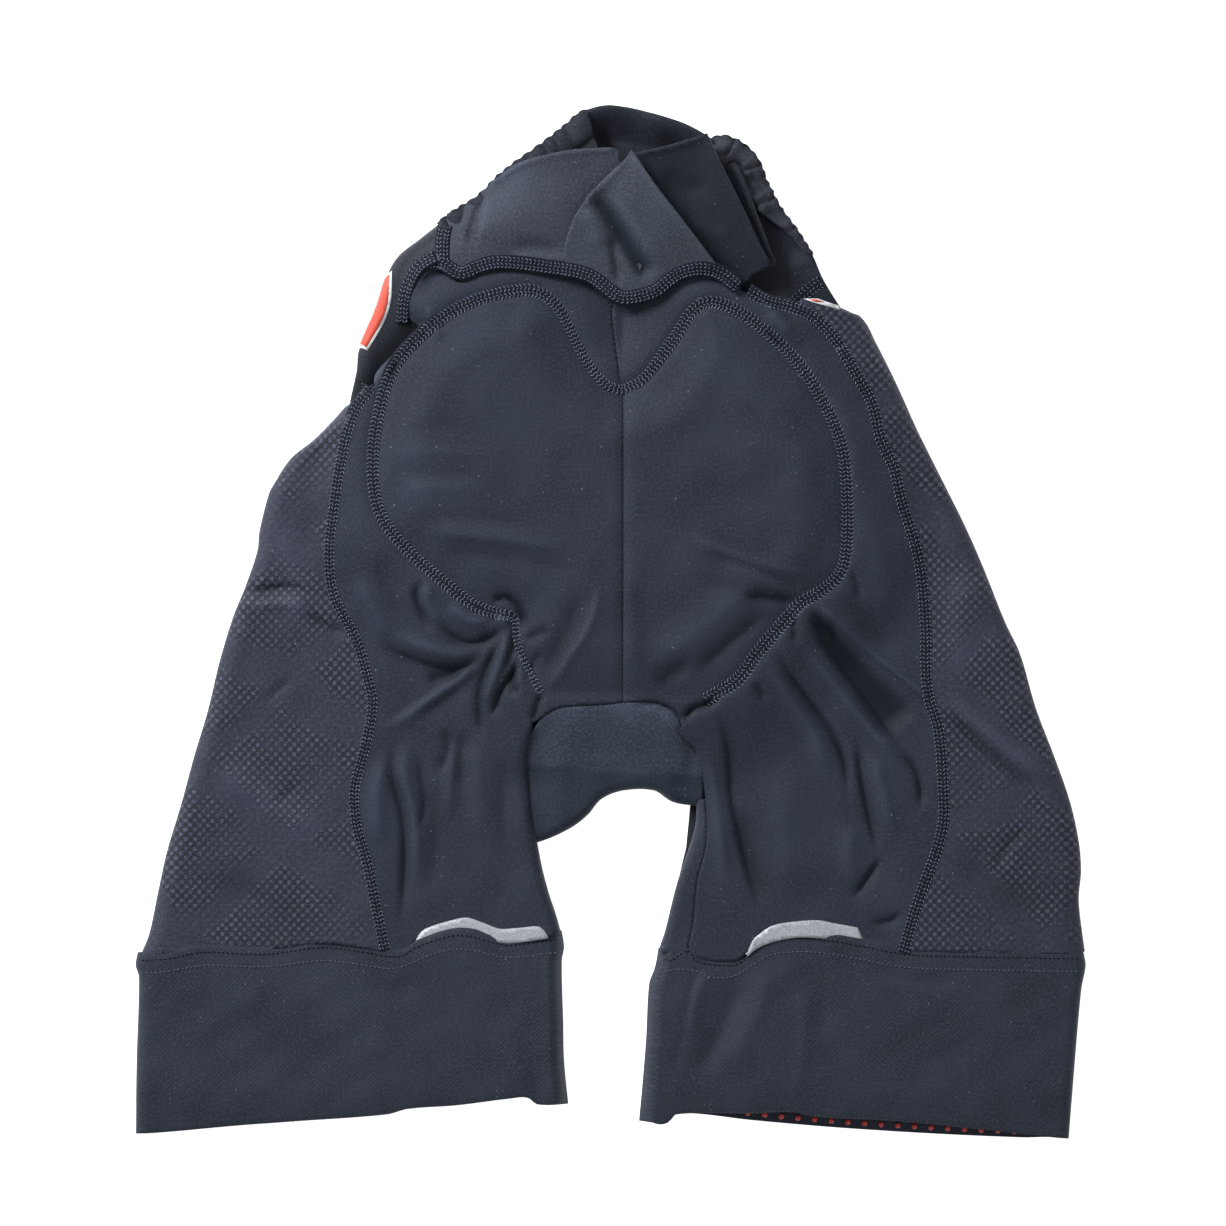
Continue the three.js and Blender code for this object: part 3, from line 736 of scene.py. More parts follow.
REAR_KNIT = Knit("rear_knit", (0.0165, 0.0215, 0.034))
HIP_KNIT = Knit("hip_knit", (0.0155, 0.0175, 0.0265), sheen=0.07)
# Gusset: a lighter copy of the knit, painted light where its cloth slopes towards the key light.
GUSSET_KNIT = Knit("gusset_knit", (0.033, 0.042, 0.061))
CUFF_KNIT = Knit("cuff_knit", (0.0175, 0.0225, 0.0345), wale=1500.0)
# Yoke and middle flap: lighter copies of the knit, painted light where they face up to the lamps.
YOKE_KNIT = Knit("yoke_knit", (0.03, 0.036, 0.052))
FLAP_KNIT = Knit("flap_knit", (0.032, 0.039, 0.053))
SHADED_KNIT = Knit("shaded_knit", (0.0075, 0.0105, 0.0175), sheen=0.05)
# Inner and front: darker copies of the knit, painted shade for cloth inside the shorts and under the waist.
INNER_KNIT = Knit("inner_knit", (0.009, 0.011, 0.017), sheen=0.06, lint=0.5)
FRONT_KNIT = Knit("front_knit", (0.0135, 0.0165, 0.025))
ELASTIC_KNIT = Knit("elastic_knit", (0.018, 0.021, 0.03), lint=0.6)
# The second colour is the raised dots' painted highlight.
SIDE_KNIT = Embossed("side_knit", (0.0155, 0.018, 0.0305), (0.088, 0.098, 0.15))
# Seam thread: its own grey, with lighter flecks painted as glints.
SEAM_THREAD = Thread("seam_thread", (0.105, 0.125, 0.18), (0.4, 0.46, 0.6))
# Near-black band under the stitches: dark thread, and also painted shadow along the seam's edges.
SEAM_BED = Thread("seam_bed", (0.0055, 0.007, 0.0125), (0.022, 0.027, 0.042), 0.8)
DARK_THREAD = Thread("dark_thread", (0.002, 0.0025, 0.004), (0.01, 0.011, 0.016), 0.7)
ROW_THREAD = Thread("row_thread", (0.07, 0.08, 0.11), (0.18, 0.2, 0.26))
SILVER = Silver()
BADGE_RED = Paint("badge_red", (0.66, 0.075, 0.045))
BADGE_WHITE = Paint("badge_white", (0.8, 0.8, 0.82))
DOT_RED = Paint("silicone_red", (0.55, 0.05, 0.05), 0.35)
PAD_FOAM = Paint("pad_foam", (0.03, 0.032, 0.04), 0.85)

Finish = Knit | Embossed | Thread | Silver | Paint
MATERIALS: dict[str, bpy.types.Material] = {}


def material(finish: Finish) -> bpy.types.Material:
    """A finish's material, made once.

    Args:
        finish: The finish.
    Returns:
        Its material.
    """
    if finish.name not in MATERIALS:
        MATERIALS[finish.name] = finish.made()
    return MATERIALS[finish.name]


# ---- meshes


def body_mesh(
    name: str, points: Points, faces: Sequence[Sequence[int]], uv: Points | None = None
) -> bpy.types.Object:
    """An object from points in millimetres.

    Args:
        name: Its name.
        points: Vertices.
        faces: Their faces.
        uv: Cloth coordinates of the vertices, in millimetres.
    Returns:
        The object, smooth shaded.
    """
    mesh = bpy.data.meshes.new(name)
    mesh.from_pydata((np.asarray(points) * MM).tolist(), [], [list(map(int, face)) for face in faces])
    if uv is not None:
        layer = mesh.uv_layers.new(name="cloth")
        corners = np.zeros(len(mesh.loops), np.int32)
        mesh.loops.foreach_get("vertex_index", corners)
        layer.data.foreach_set("uv", (np.asarray(uv)[corners] * MM).ravel())
    mesh.polygons.foreach_set("use_smooth", np.ones(len(mesh.polygons), bool))
    mesh.update()
    made = bpy.data.objects.new(name, mesh)
    bpy.context.collection.objects.link(made)
    return made


def only(made: bpy.types.Object) -> None:
    """Selects one object and nothing else."""
    bpy.ops.object.select_all(action="DESELECT")
    made.select_set(True)
    bpy.context.view_layer.objects.active = made


def thickened(made: bpy.types.Object, thickness: float, offset: float = 0.0) -> bpy.types.Object:
    """Gives a sheet its thickness.

    Args:
        made: The sheet.
        thickness: In millimetres.
        offset: Which side it goes, -1 below to 1 above.
    Returns:
        The same object, closed.
    """
    only(made)
    solid = made.modifiers.new("thickness", "SOLIDIFY")
    solid.thickness, solid.offset = thickness * MM, offset
    solid.use_even_offset = False
    bpy.ops.object.modifier_apply(modifier=solid.name)
    return made


def cut(outline: Points, spacing: float) -> tuple[Points, list]:
    """Fills an outline with triangles.

    Args:
        outline: Closed outline, anticlockwise.
        spacing: Spacing of the inner points.
    Returns:
        Points and triangles.
    """
    low, high = outline.min(axis=0), outline.max(axis=0)
    rows = np.arange(low[1], high[1], spacing * 0.87)
    columns = np.arange(low[0], high[0], spacing)
    x, y = np.meshgrid(columns, rows)
    x = x + np.where(np.arange(len(rows)) % 2, spacing / 2, 0.0)[:, None]
    x, y = x.ravel(), y.ravel()
    kept = inside(x, y, outline)
    x, y = x[kept], y[kept]
    off, _, _ = nearest(x, y, closed(outline))
    inner = np.column_stack([x, y])[off > spacing * 0.55]
    every = np.vstack([outline, inner])
    n = len(outline)
    edges = [(k, (k + 1) % n) for k in range(n)]
    found = delaunay_2d_cdt([Vector(p) for p in every], edges, [], 1, 1e-4)
    points = np.array([tuple(p) for p in found[0]], float)
    return points, [list(face) for face in found[2]]


@dataclass
class Panel:
    """A cut piece of cloth, laid by a rule from its flat plan."""

    name: str
    outline: Points
    lay: Lay
    spacing: float = 1.35
    thickness: float = CLOTH
    # painted shade (negative) and painted highlight (positive) at each plan place, kept as the stretch
    # attribute
    tone: Surface | None = None

    def made(self) -> bpy.types.Object:
        """Builds it.

        Returns:
            The cloth, with its thickness.
        """
        plan, faces = cut(self.outline, self.spacing)
        points = self.lay(plan[:, 0], plan[:, 1])
        built = body_mesh(self.name, points, faces, plan)
        if self.tone is not None:
            # the stretch attribute carries the painted fold shade and highlight to the material
            stretch = built.data.attributes.new("stretch", "FLOAT", "POINT")
            stretch.data.foreach_set("value", self.tone(plan[:, 0], plan[:, 1]).astype(np.float32))
        return thickened(built, self.thickness)


def bead(sides: int = 5) -> tuple[Points, list]:
    """A short round stitch, one unit long, wide and high.

    Args:
        sides: Facets round it.
    Returns:
        Points and faces.
    """
    rings = [(-0.5, 0.35), (-0.22, 1), (0.22, 1), (0.5, 0.35)]
    points = [
        (at, 0.5 * size * math.cos(math.tau * k / sides), 0.5 * size * math.sin(math.tau * k / sides))
        for at, size in rings
        for k in range(sides)
    ]
    faces = [tuple(reversed(range(sides))), tuple(range(3 * sides, 4 * sides))]
    for ring in range(3):
        for k in range(sides):
            a, b = ring * sides + k, ring * sides + (k + 1) % sides
            faces.append((a, b, b + sides, a + sides))
    return np.array(points), faces


@dataclass
class Seam:
    """A sewn line: a raised band of thread with its stitches, on cloth laid by a rule."""

    name: str
    path: Points
    lay: Lay
    kind: Stitch
    width: float = 6.0
    pitch: float = 1.8
    lift: float = 0.6
    narrow: Callable[[Points], Points] | None = None

    def widths(self, path: Points) -> Points:
        """How wide the seam looks along a path, as a share of its width."""
        share = np.linspace(0, 1, len(path))
        return np.ones(len(path)) if self.narrow is None else self.narrow(share)

    def frame(self, x: Points, y: Points) -> tuple[Points, Points]:
        """Surface points and normals.

        Args:
            x: Plan places across.
            y: Plan places along.
        Returns:
            Points and upward normals.
        """
        at = self.lay(x, y)
        du = self.lay(x + 1.3, y) - self.lay(x - 1.3, y)
        dv = self.lay(x, y + 1.3) - self.lay(x, y - 1.3)
        normal = np.cross(du, dv)
        return at, normal / np.maximum(np.linalg.norm(normal, axis=1, keepdims=True), 1e-9)

    def sides(self, path: Points) -> tuple[Points, Points]:
        """Directions along and across a plan path.

        Args:
            path: The path.
        Returns:
            Unit vectors along it and to its left.
        """
        run = np.gradient(path, axis=0)
        run /= np.maximum(np.linalg.norm(run, axis=1, keepdims=True), 1e-9)
        return run, np.column_stack([-run[:, 1], run[:, 0]])

    def band(self) -> tuple[Points, list, Points]:
        """The low crowned band under the stitches.

        Returns:
            Points, faces and cloth coordinates.
        """
        path = evenly(self.path, 1.6)
        _, left = self.sides(path)
        left = left * self.widths(path)[:, None]
        # The band reaches past the outer stitches, so its near-black edges show as painted shadow along the
        # seam.
        profile = [(-0.58, -0.25), (-0.47, 0.7), (-0.15, 1), (0.15, 1), (0.47, 0.7), (0.58, -0.25)]
        points, uv = [], []
        for across, rise in profile:
            spot = path + left * across * self.width
            at, normal = self.frame(spot[:, 0], spot[:, 1])
            points.append(at + normal * (rise * self.lift))
            uv.append(spot)
        n = len(path)
        faces = []
        for k in range(len(profile)):
            other = (k + 1) % len(profile)
            for i in range(n - 1):
                faces.append((k * n + i, other * n + i, other * n + i + 1, k * n + i + 1))
        faces.append(tuple(k * n for k in range(len(profile))))
        faces.append(tuple(k * n + n - 1 for k in reversed(range(len(profile)))))
        return np.concatenate(points), faces, np.concatenate(uv)

    def rows(self) -> list[tuple[float, float, float, float]]:
        """Rows of stitches: place across, slant in degrees, length and thickness."""
        if self.kind is Stitch.DASHES:
            return [(0.0, 0, self.pitch * 0.62, 0.55 * self.width)]
        part = self.width / 6
        return [(across * part, *shape) for across, *shape in STITCH_ROWS[self.kind]]

    def made(self, bed: Thread = SEAM_BED, thread: Thread = SEAM_THREAD) -> bpy.types.Object:
        """Builds the seam.

        Args:
            bed: Finish of the band.
            thread: Finish of the stitches.
        Returns:
            One object with both.
        """
        banded = self.kind is not Stitch.DASHES
        points, faces, uv = self.band() if banded else (np.zeros((0, 3)), [], np.zeros((0, 2)))
        every, count, slots = [points], len(points), [0] * len(faces)
        shape, shape_faces = bead()
        path = evenly(self.path, self.pitch)
        centres = (path[1:] + path[:-1]) / 2
        run, left = self.sides(path)
        run, left = run[:-1], left[:-1]
        wide = self.widths(centres)[:, None]
        maker = np.random.default_rng(len(centres))
        for across, slant, length, thick in self.rows():
            spot = centres + left * across * wide + run * maker.uniform(-0.12, 0.12, (len(centres), 1))
            turn = math.radians(slant) + maker.uniform(-0.16, 0.16, (len(centres), 1))
            turn = turn * np.minimum(wide * 1.2, 1)
            way = run * np.cos(turn) + left * np.sin(turn)
            shares = maker.uniform(0.85, 1.1, (len(centres), 1, 1))
            length = length * (0.35 + 0.65 * wide[:, :, None]) * shares
            at, normal = self.frame(spot[:, 0], spot[:, 1])
            ahead, _ = self.frame(spot[:, 0] + way[:, 0] * 0.5, spot[:, 1] + way[:, 1] * 0.5)
            along = ahead - at
            along /= np.maximum(np.linalg.norm(along, axis=1, keepdims=True), 1e-9)
            beside = np.cross(normal, along)
            base = at + normal * (self.lift * (0.95 if banded else 0.35))
            block = (
                base[:, None]
                + along[:, None] * (shape[None, :, :1] * length)
                + beside[:, None] * (shape[None, :, 1:2] * thick)
                + normal[:, None] * (shape[None, :, 2:] * thick * 0.8)
            )
            every.append(block.reshape(-1, 3))
            uv = np.vstack([uv, np.repeat(spot, len(shape), axis=0)])
            for _ in spot:
                faces.extend(tuple(v + count for v in face) for face in shape_faces)
                slots.extend([1] * len(shape_faces))
                count += len(shape)
        built = body_mesh(self.name, np.concatenate(every), faces, uv)
        built.data.materials.append(material(bed))
        built.data.materials.append(material(thread))
        built.data.polygons.foreach_set("material_index", np.array(slots, np.int32))
        recalculated(built)
        return built


def recalculated(made: bpy.types.Object) -> None:
    """Turns a closed mesh's faces outwards.

    Args:
        made: The object.
    """
    only(made)
    bpy.ops.object.mode_set(mode="EDIT")
    bpy.ops.mesh.select_all(action="SELECT")
    bpy.ops.mesh.normals_make_consistent(inside=False)
    bpy.ops.object.mode_set(mode="OBJECT")


# ---- the plan of the shorts

LEFT_OUTER = Run((
    (-148, -208), (-138, -204), (-119, -200), (-101, -196), (-81, -190), (-59, -184), (-39, -178),
    (-18, -173), (2, -167), (17, -161), (32, -156), (41, -155), (57, -151), (61, -149), (73, -141),
    (81, -131), (90, -122), (98, -115),
))
LEFT_HIP_OUTER = Run((
    (88, -116), (98, -115), (112, -112), (121, -111), (140, -103), (155, -98), (163, -93), (170, -84),
    (177, -75), (183, -67), (188, -58),
))
RIGHT_OUTER = Run((
    (-147, 211), (-141, 210), (-123, 208), (-110, 209), (-97, 208), (-79, 204), (-59, 197), (-38, 189),
    (-14, 182), (1, 175), (26, 165), (44, 157), (64, 147), (86, 136), (106, 127), (124, 118), (136, 111),
    (140, 102),
))
LEFT_SEAM = Run((
    (-147, -99), (-128, -103), (-108, -107), (-90, -112), (-74, -113), (-54, -108), (-36, -105),
    (-25, -107), (-8, -112), (12, -122), (30, -124), (50, -122), (75, -118), (93, -113), (106, -104),
))
RIGHT_SEAM = Run((
    (-147, 130), (-123, 137), (-101, 145), (-88, 148), (-74, 148), (-48, 146), (-30, 141), (1, 140),
    (28, 137), (55, 129), (68, 126), (81, 120), (97, 116), (117, 105), (127, 99),
))
LEFT_FOLD = Run((
    (-150, -21), (-138, -22), (-130, -24), (-121, -27), (-110, -30), (-100, -32), (-83, -35), (-65, -37),
    (-48, -35), (-36, -32), (-31, -30), (-20, -22),
))
RIGHT_INSEAM = Run((
    (-150, 34), (-143, 35), (-134, 37), (-114, 39), (-97, 43), (-72, 42), (-57, 39), (-50, 32), (-44, 27),
))
RIGHT_INNER = Run((
    (-150, 21), (-146, 22), (-137, 25), (-117, 30), (-92, 38), (-81, 39), (-74, 38), (-60, 36),
))
ARCH = Run((
    (-40, -97), (-32, -97), (-18, -91), (-10, -85), (-4, -78), (6, -74), (20, -74), (28, -79), (39, -81),
))
CROTCH = Run((
    (-40, -47), (-35, -45), (-26, -39), (-21, -37), (-4, -36), (6, -35), (20, -35), (29, -40), (34, -50),
))
CENTRE = Run(((-50, 6), (-35, 6), (104, 6), (106, 5), (128, 2), (138, 1), (143, 2), (150, 3)))
YOKE_SEAM = Run((
    (-84, 159), (-75, 160), (-66, 155), (-58, 158), (-49, 160), (-29, 158), (-9, 154), (2, 146), (6, 144),
    (20, 147), (25, 151), (31, 155), (40, 157), (49, 155), (57, 149), (64, 143),
))
LEFT_CUFF_LINE = Run((
    (-215, -148), (-196, -147), (-180, -144), (-153, -145), (-127, -142), (-109, -144), (-93, -146),
    (-86, -142), (-71, -137), (-62, -137), (-51, -140), (-44, -141), (-21, -138), (-15, -138),
))
RIGHT_CUFF_LINE = Run((
    (15, -146), (22, -146), (27, -148), (35, -143), (38, -148), (54, -150), (59, -148), (65, -142),
    (76, -138.5), (94, -138.5), (112, -141.5), (131, -145), (156, -146), (215, -147),
))
PAD_LEFT = (
    (5, 103), (-1, 105), (-6, 110), (-11, 117), (-18, 131), (-23, 140), (-31, 146), (-40, 147), (-58, 143),
    (-75, 134), (-91, 119), (-99, 104), (-104, 81), (-104, 59), (-99, 44), (-87, 30), (-73, 18), (-60, 8),
    (-49, 4), (-42, 2), (-41, -8), (-36, -20), (-30, -31),
)
PAD_RIGHT = (
    (5, 103), (10, 105), (16, 109), (29, 126), (36, 137), (45, 142), (60, 136), (78, 121), (91, 104),
    (102, 81), (105, 59), (105, 35), (102, 22), (92, 13), (85, 9), (76, -1), (65, -14), (56, -26), (42, -34),
)

SEAT_FOLDS = tuple(Fold(*row) for row in (
    # over the pad
    (((-84, 40), (-50, 37), (-13, 31)), 1, 3.5, 0.5),
    (((-78, 33), (-45, 29), (-10, 22)), -1.1, 5),
    (((-90, 47), (-60, 46), (-30, 43)), -0.6, 4),
    (((32, 40), (58, 29), (93, 20)), 1.1, 3, -0.4),
    (((49, 27), (66, 20), (83, 13)), 1.1, 2.6, -0.4),
    (((36, 33), (60, 25), (88, 15)), -0.9, 3.5),
    (((58, 12), (72, 10.5), (85, 8.5)), -2.4, 2.6, 0.3),
    (((36, 20), (56, 14), (72, 3)), -0.8, 4),
    (((-100, 74), (-70, 75), (-45, 73)), 0.5, 3.5),
    (((-98, 66), (-74, 66), (-50, 64)), -0.5, 4),
    (((-94, 60), (-79, 59), (-55, 61)), 0.5, 3.5),
    (((-96, 84), (-72, 87), (-50, 86)), -0.4, 4),
    (((50, 80), (75, 76), (96, 68)), 0.4, 5),
    (((40, 60), (70, 55), (98, 46)), -0.4, 5),
    (((-28, -32), (-19, -17), (-9, -1), (-4, 18)), 1.3, 1.8, -0.4, 0.25, 1.3),
    (((-32, -27), (-22, -10), (-15, 6), (-12, 18)), -1.5, 5.5),
    (((-38, -8), (-32, -5), (-26, -3)), -1.4, 2),
    (((-36, -22), (-33, -17), (-30, -12)), -1.2, 1.8),
    (((36, -24), (54, -8), (72, 6)), -1.6, 3.6),
    (((20, -30), (30, -20), (36, -24)), -1.6, 4.5),
    (((16, -22), (42, -2), (66, 20)), 1.1, 7),
    (((8, 20), (16, 0), (14, -24)), -0.8, 5),
    # left leg, gathered where the pad ends
    (((-53, 9), (-46, 11), (-40, 7), (-38, 1), (-38, -4)), -3.4, 1.7, 0.2, 0.25, 1.4),
    (((-50, 4), (-47, 2), (-44, 0)), 1.8, 2.2),
    (((-82, 20), (-86, 13), (-83, 4), (-78, -5)), -2.4, 1.7, 0.3, 0.35, 1.3),
    (((-78, 19), (-81, 12), (-78, 4), (-73, -3)), 1.6, 2.4, 0.2),
    (((-75, 1), (-70, -5), (-62, -9), (-52, -6), (-46, -1)), -2.6, 2, -0.2, 0.3, 1.4),
    (((-72, 8), (-62, 1), (-52, 1)), 1.5, 3),
    (((-103, -7), (-94, -13), (-79, -19), (-67, -20), (-57, -16), (-50, -8)), -2.6, 2.6, -0.3, 0.3, 1.5),
    (((-98, -3), (-82, -11), (-66, -14), (-54, -9)), 1.6, 2.8),
    (((-82, -25), (-74, -24), (-64, -22)), -2, 2.6),
    (((-40, -14), (-42, -21), (-48, -30), (-51, -38), (-53, -43)), -3.2, 1.5, 0.3, 0.25, 1.3),
    (((-46, -4), (-52, -16), (-57, -30), (-57, -44), (-55, -53)), -2.6, 1.6, -0.3, 0.25, 1.3),
    (((-42, 0), (-43, -10), (-47, -22)), -1.6, 1.3, 0.3, 0.25, 1.3),
    (((-44, -1), (-48, -16), (-53, -29), (-55, -38)), 2.2, 2, 0, 0.3),
    (((-42, -16), (-43, -31), (-38, -25)), -2, 1.4, 0, 0.3, 1.3),
    (((-39, -12), (-40, -24), (-37, -34)), 1.4, 2),
    (((-30, -31), (-32, -37), (-34, -44)), -2.4, 1.6, 0, 0.2, 1.3),
    (((-46, -4), (-60, -19), (-84, -37), (-103, -49)), 2, 2.8, 0.5, 0.3),
    (((-52, -16), (-68, -30), (-88, -44)), -1.8, 4, 0.2),
    (((-94, -50), (-97, -65), (-92, -85), (-91, -104), (-93, -138)), -2.4, 2.4, 0.4, 0.3, 1.3),
    (((-98, -56), (-103, -76), (-101, -100)), 1.8, 4),
    (((-88, -50), (-91, -66), (-86, -90), (-86, -120)), 1.9, 2.8),
    (((-86, -57), (-82, -79), (-86, -95)), -1.6, 2, 0.2, 0.3, 1.4),
    (((-75, -46), (-71, -55), (-76, -68)), -1.5, 2.6),
    (((-63, -46), (-66, -60), (-64, -76)), -1.3, 3),
    (((-69, -48), (-70, -66), (-72, -90)), 1.2, 3),
    (((-79, -70), (-77, -100), (-81, -124)), -1, 4),
    (((-57, -44), (-58, -70), (-56, -100)), 1.1, 5),
    (((-46, -52), (-47, -80), (-46, -110)), -0.9, 4),
    (((-112, 22), (-104, 4), (-98, -12)), 1.2, 4),
    (((-104, 30), (-97, 12), (-93, -2)), -0.9, 4),
    # right leg, pulled from one point of the pad stitching
    (((88, 7), (97, -5), (109, -20), (122, -35), (132, -47)), -3.4, 2.4, -0.15, 0.14, 2.6, 2.6),
    (((88, 1), (95, -10), (106, -24), (122, -45), (134, -60)), -1.6, 1.6, 0, 0.2, 1.4),
    (((128, -56), (135, -64), (138, -73), (138, -84)), -2.6, 1.6, 0, 0.3, 1.3),
    (((92, 8), (103, -2), (114, -12), (128, -23), (144, -36)), 2.2, 1.5, 0.5, 0.12, 1.3),
    (((81, -6), (94, -21), (112, -43), (124, -58), (129, -72)), 2.2, 2.6, 0.2),
    (((73, -11), (78, -20), (90, -36), (99, -49), (105, -64), (106, -82)), -3.2, 1.5, -0.3, 0.3, 1.3),
    (((68, -14), (80, -34), (91, -50), (99, -72)), 1.8, 3.2),
    (((110, -48), (111, -65), (115, -86), (120, -104)), -2.6, 1.6, 0.3, 0.3, 1.3),
    (((121, -103), (115, -112), (107, -123)), -2.6, 1.5, 0.3, 0.35, 1.3),
    (((117, -54), (121, -74), (127, -98)), 1.6, 3.6),
    (((108, -88), (106, -106), (112, -118)), 1.4, 4),
    (((64, -25), (67, -31), (70, -36)), -2, 1.6, 0, 0.4, 1.4),
    (((96, 2), (99, -4), (102, -11)), -1.6, 1.6, 0, 0.4, 1.4),
    (((106, 26), (109, 17), (112, 9)), -1.8, 1.6, 0.2, 0.4, 1.4),
    (((80, 4), (82, -3), (81, -10)), -1.6, 2),
    (((47, -36), (52, -56), (54, -79), (60, -106), (67, -128)), -2.2, 2.4, 0.6, 0.25, 1.3),
    (((58, -80), (63, -104), (70, -126)), -1.4, 5),
    (((40, -52), (46, -68), (49, -92), (52, -122)), 1.6, 3),
    (((74, -60), (78, -90), (80, -120)), 0.9, 7),
    (((114, -132), (122, -133), (127, -131), (130, -126)), -2, 1.6, 0, 0.4, 1.4),
    (((112, 60), (120, 20), (120, -10)), 1, 6),
    (((104, 14), (114, 0), (128, -14)), -0.8, 4),
    (((50, -32), (43, -36), (37, -38), (32, -44)), -3.4, 1.6, 0, 0.25, 1.3),
    (((10, -36), (20, -36), (28, -39), (32, -45)), -2.2, 1.6, 0, 0.3, 1.4),
    # side panels
    (((-165, 12), (-152, 15), (-140, 16), (-128, 11)), -1.8, 1.7, -0.3, 0.35, 1.4),
    (((-162, 6), (-145, 9), (-132, 5)), 1.4, 2.8),
    (((-135, 5), (-124, -2), (-115, -6)), -2, 1.8, 0, 0.35, 1.4),
    (((-140, -22), (-147, -30), (-155, -36)), -1, 2.2, 0, 0.4, 1.4),
    (((-150, -82), (-142, -75), (-136, -70)), -0.9, 2, 0, 0.4, 1.4),
    (((-178, -60), (-150, -80), (-120, -96)), 1.1, 8),
    (((-190, -110), (-160, -120), (-125, -138)), -1.1, 8),
    (((-150, 50), (-138, 20), (-140, -10)), 1, 7),
    (((-128, 84), (-132, 60), (-130, 30)), -0.9, 6),
    (((145, -36), (158, -48), (171, -60), (194, -79)), -2.2, 1.8, 0.3, 0.3, 1.4),
    (((148, -30), (172, -52), (196, -71)), 1.4, 3.4),
    (((160, 30), (154, 0), (160, -30)), 1, 7),
    (((150, -100), (175, -120), (200, -130)), -1, 8),
    (((186, -90), (176, -100), (170, -112)), -1, 2.4),
    # hips
    (((-78, 138), (-84, 131), (-91, 123), (-102, 112), (-113, 101)), 1.6, 2.4),
    (((-80, 140), (-78, 131), (-74, 125)), 1.2, 2),
    (((50, 160), (62, 148), (78, 132), (90, 118)), 1.2, 2.2, -0.3),
    (((76, 140), (82, 128), (90, 118)), -0.9, 2.5),
    (((70, 138), (74, 132), (82, 128)), 0.8, 3),
))


@dataclass
class Lie:
    """How high the upper layer lies over the floor."""

    leg: float = 10.2
    seat: float = 8.6
    crown: float = 4.2
    outline: Points = field(default_factory=lambda: joined(swung(PAD_LEFT, 4), swung(PAD_RIGHT, 4)[::-1]))

    def pad_share(self, x: Points, y: Points) -> tuple[Points, Points]:
        """How much the pad holds the cloth up.

        Args:
            x: Places across.
            y: Places along.
        Returns:
            Distance outside and inside the pad's outline.
        """
        off, _, _ = nearest(x, y, closed(self.outline))
        within = inside(x, y, self.outline)
        return np.where(within, 0, off), np.where(within, off, 0)

    def __call__(self, x: Points, y: Points) -> Points:
        """Height of the middle of the upper cloth.

        Args:
            x: Places across.
            y: Places along.
        Returns:
            Heights.
        """
        x, y = paired(x, y)
        out, deep = self.pad_share(x, y)
        z = self.leg + self.seat * (1 - ease(0, 42, out)) + self.crown * ease(0, 24, deep)
        z = z - 1.3 * np.exp(-((np.where(deep > 0, deep, out) / 3.4) ** 2)) * ease(-40, -20, y)
        z = z - 0.9 * np.exp(-(((x - CENTRE(y)) / 2.4) ** 2)) * ease(-40, -20, y) * ease(128, 100, y)
        z = z + 1.6 * ease(120, 150, y) * (1 - ease(10, 60, out))
        z = z + 0.5 * ripple(x, y, 70, 3) + 0.22 * ripple(x, y, 26, 5)
        return sum((fold(x, y) for fold in SEAT_FOLDS), z)


LIE = Lie()


def fold_shading(x: Points, y: Points, folds: Sequence[Fold]) -> Points:
    """Painted highlight over a fold's ridge, up to 1, and painted shade in its valley, down to -1."""
    rise = sum((fold(x, y) for fold in folds), np.zeros(np.shape(x)))
    return np.clip(np.where(rise < 0, rise / 3.4, rise / 3.6), -1, 1)


class Cached:
    """Heights looked up on a fine grid, which is quicker than summing every fold again."""

    def __init__(self, surface: Surface, low: Sequence[float], high: Sequence[float], step: float) -> None:
        """Samples a surface.

        Args:
            surface: The surface.
            low: Lowest corner.
            high: Highest corner.
            step: Grid spacing.
        """
        self.low, self.step = low, step
        x = np.arange(low[0], high[0] + step, step)
        y = np.arange(low[1], high[1] + step, step)
        gx, gy = np.meshgrid(x, y)
        self.z = surface(gx.ravel(), gy.ravel()).reshape(gx.shape)

    def __call__(self, x: Points, y: Points) -> Points:
        """Height at each place, from the four grid points round it.

        Args:
            x: Places across.
            y: Places along.
        Returns:
            Heights.
        """
        x, y = paired(x, y)
        u = np.clip((x - self.low[0]) / self.step, 0, self.z.shape[1] - 1.001)
        v = np.clip((y - self.low[1]) / self.step, 0, self.z.shape[0] - 1.001)
        i, j = u.astype(int), v.astype(int)
        s, t = u - i, v - j
        z = self.z
        low = z[j, i] * (1 - s) + z[j, i + 1] * s
        high = z[j + 1, i] * (1 - s) + z[j + 1, i + 1] * s
        return low * (1 - t) + high * t


def at(x: Points, y: Points, z: Points) -> Points:
    """Points from their three coordinates."""
    return np.column_stack(np.broadcast_arrays(x, y, z))


def raised(surface: Surface, lift: float = 0.0) -> Lay:
    """Lays a plan on a surface, or that far above it."""
    return lambda x, y: at(x, y, surface(x, y) + lift)


def rolled(roll: Roll, top: Surface) -> Lay:
    """Lays a plan on a surface and over its folded edge.

    Args:
        roll: The edge.
        top: The surface.
    Returns:
        The rule.
    """

    def lay(q: Points, y: Points) -> Points:
        """Places the plan's points."""
        x, z = roll(q, y, top)
        return at(x, y, z)

    return lay


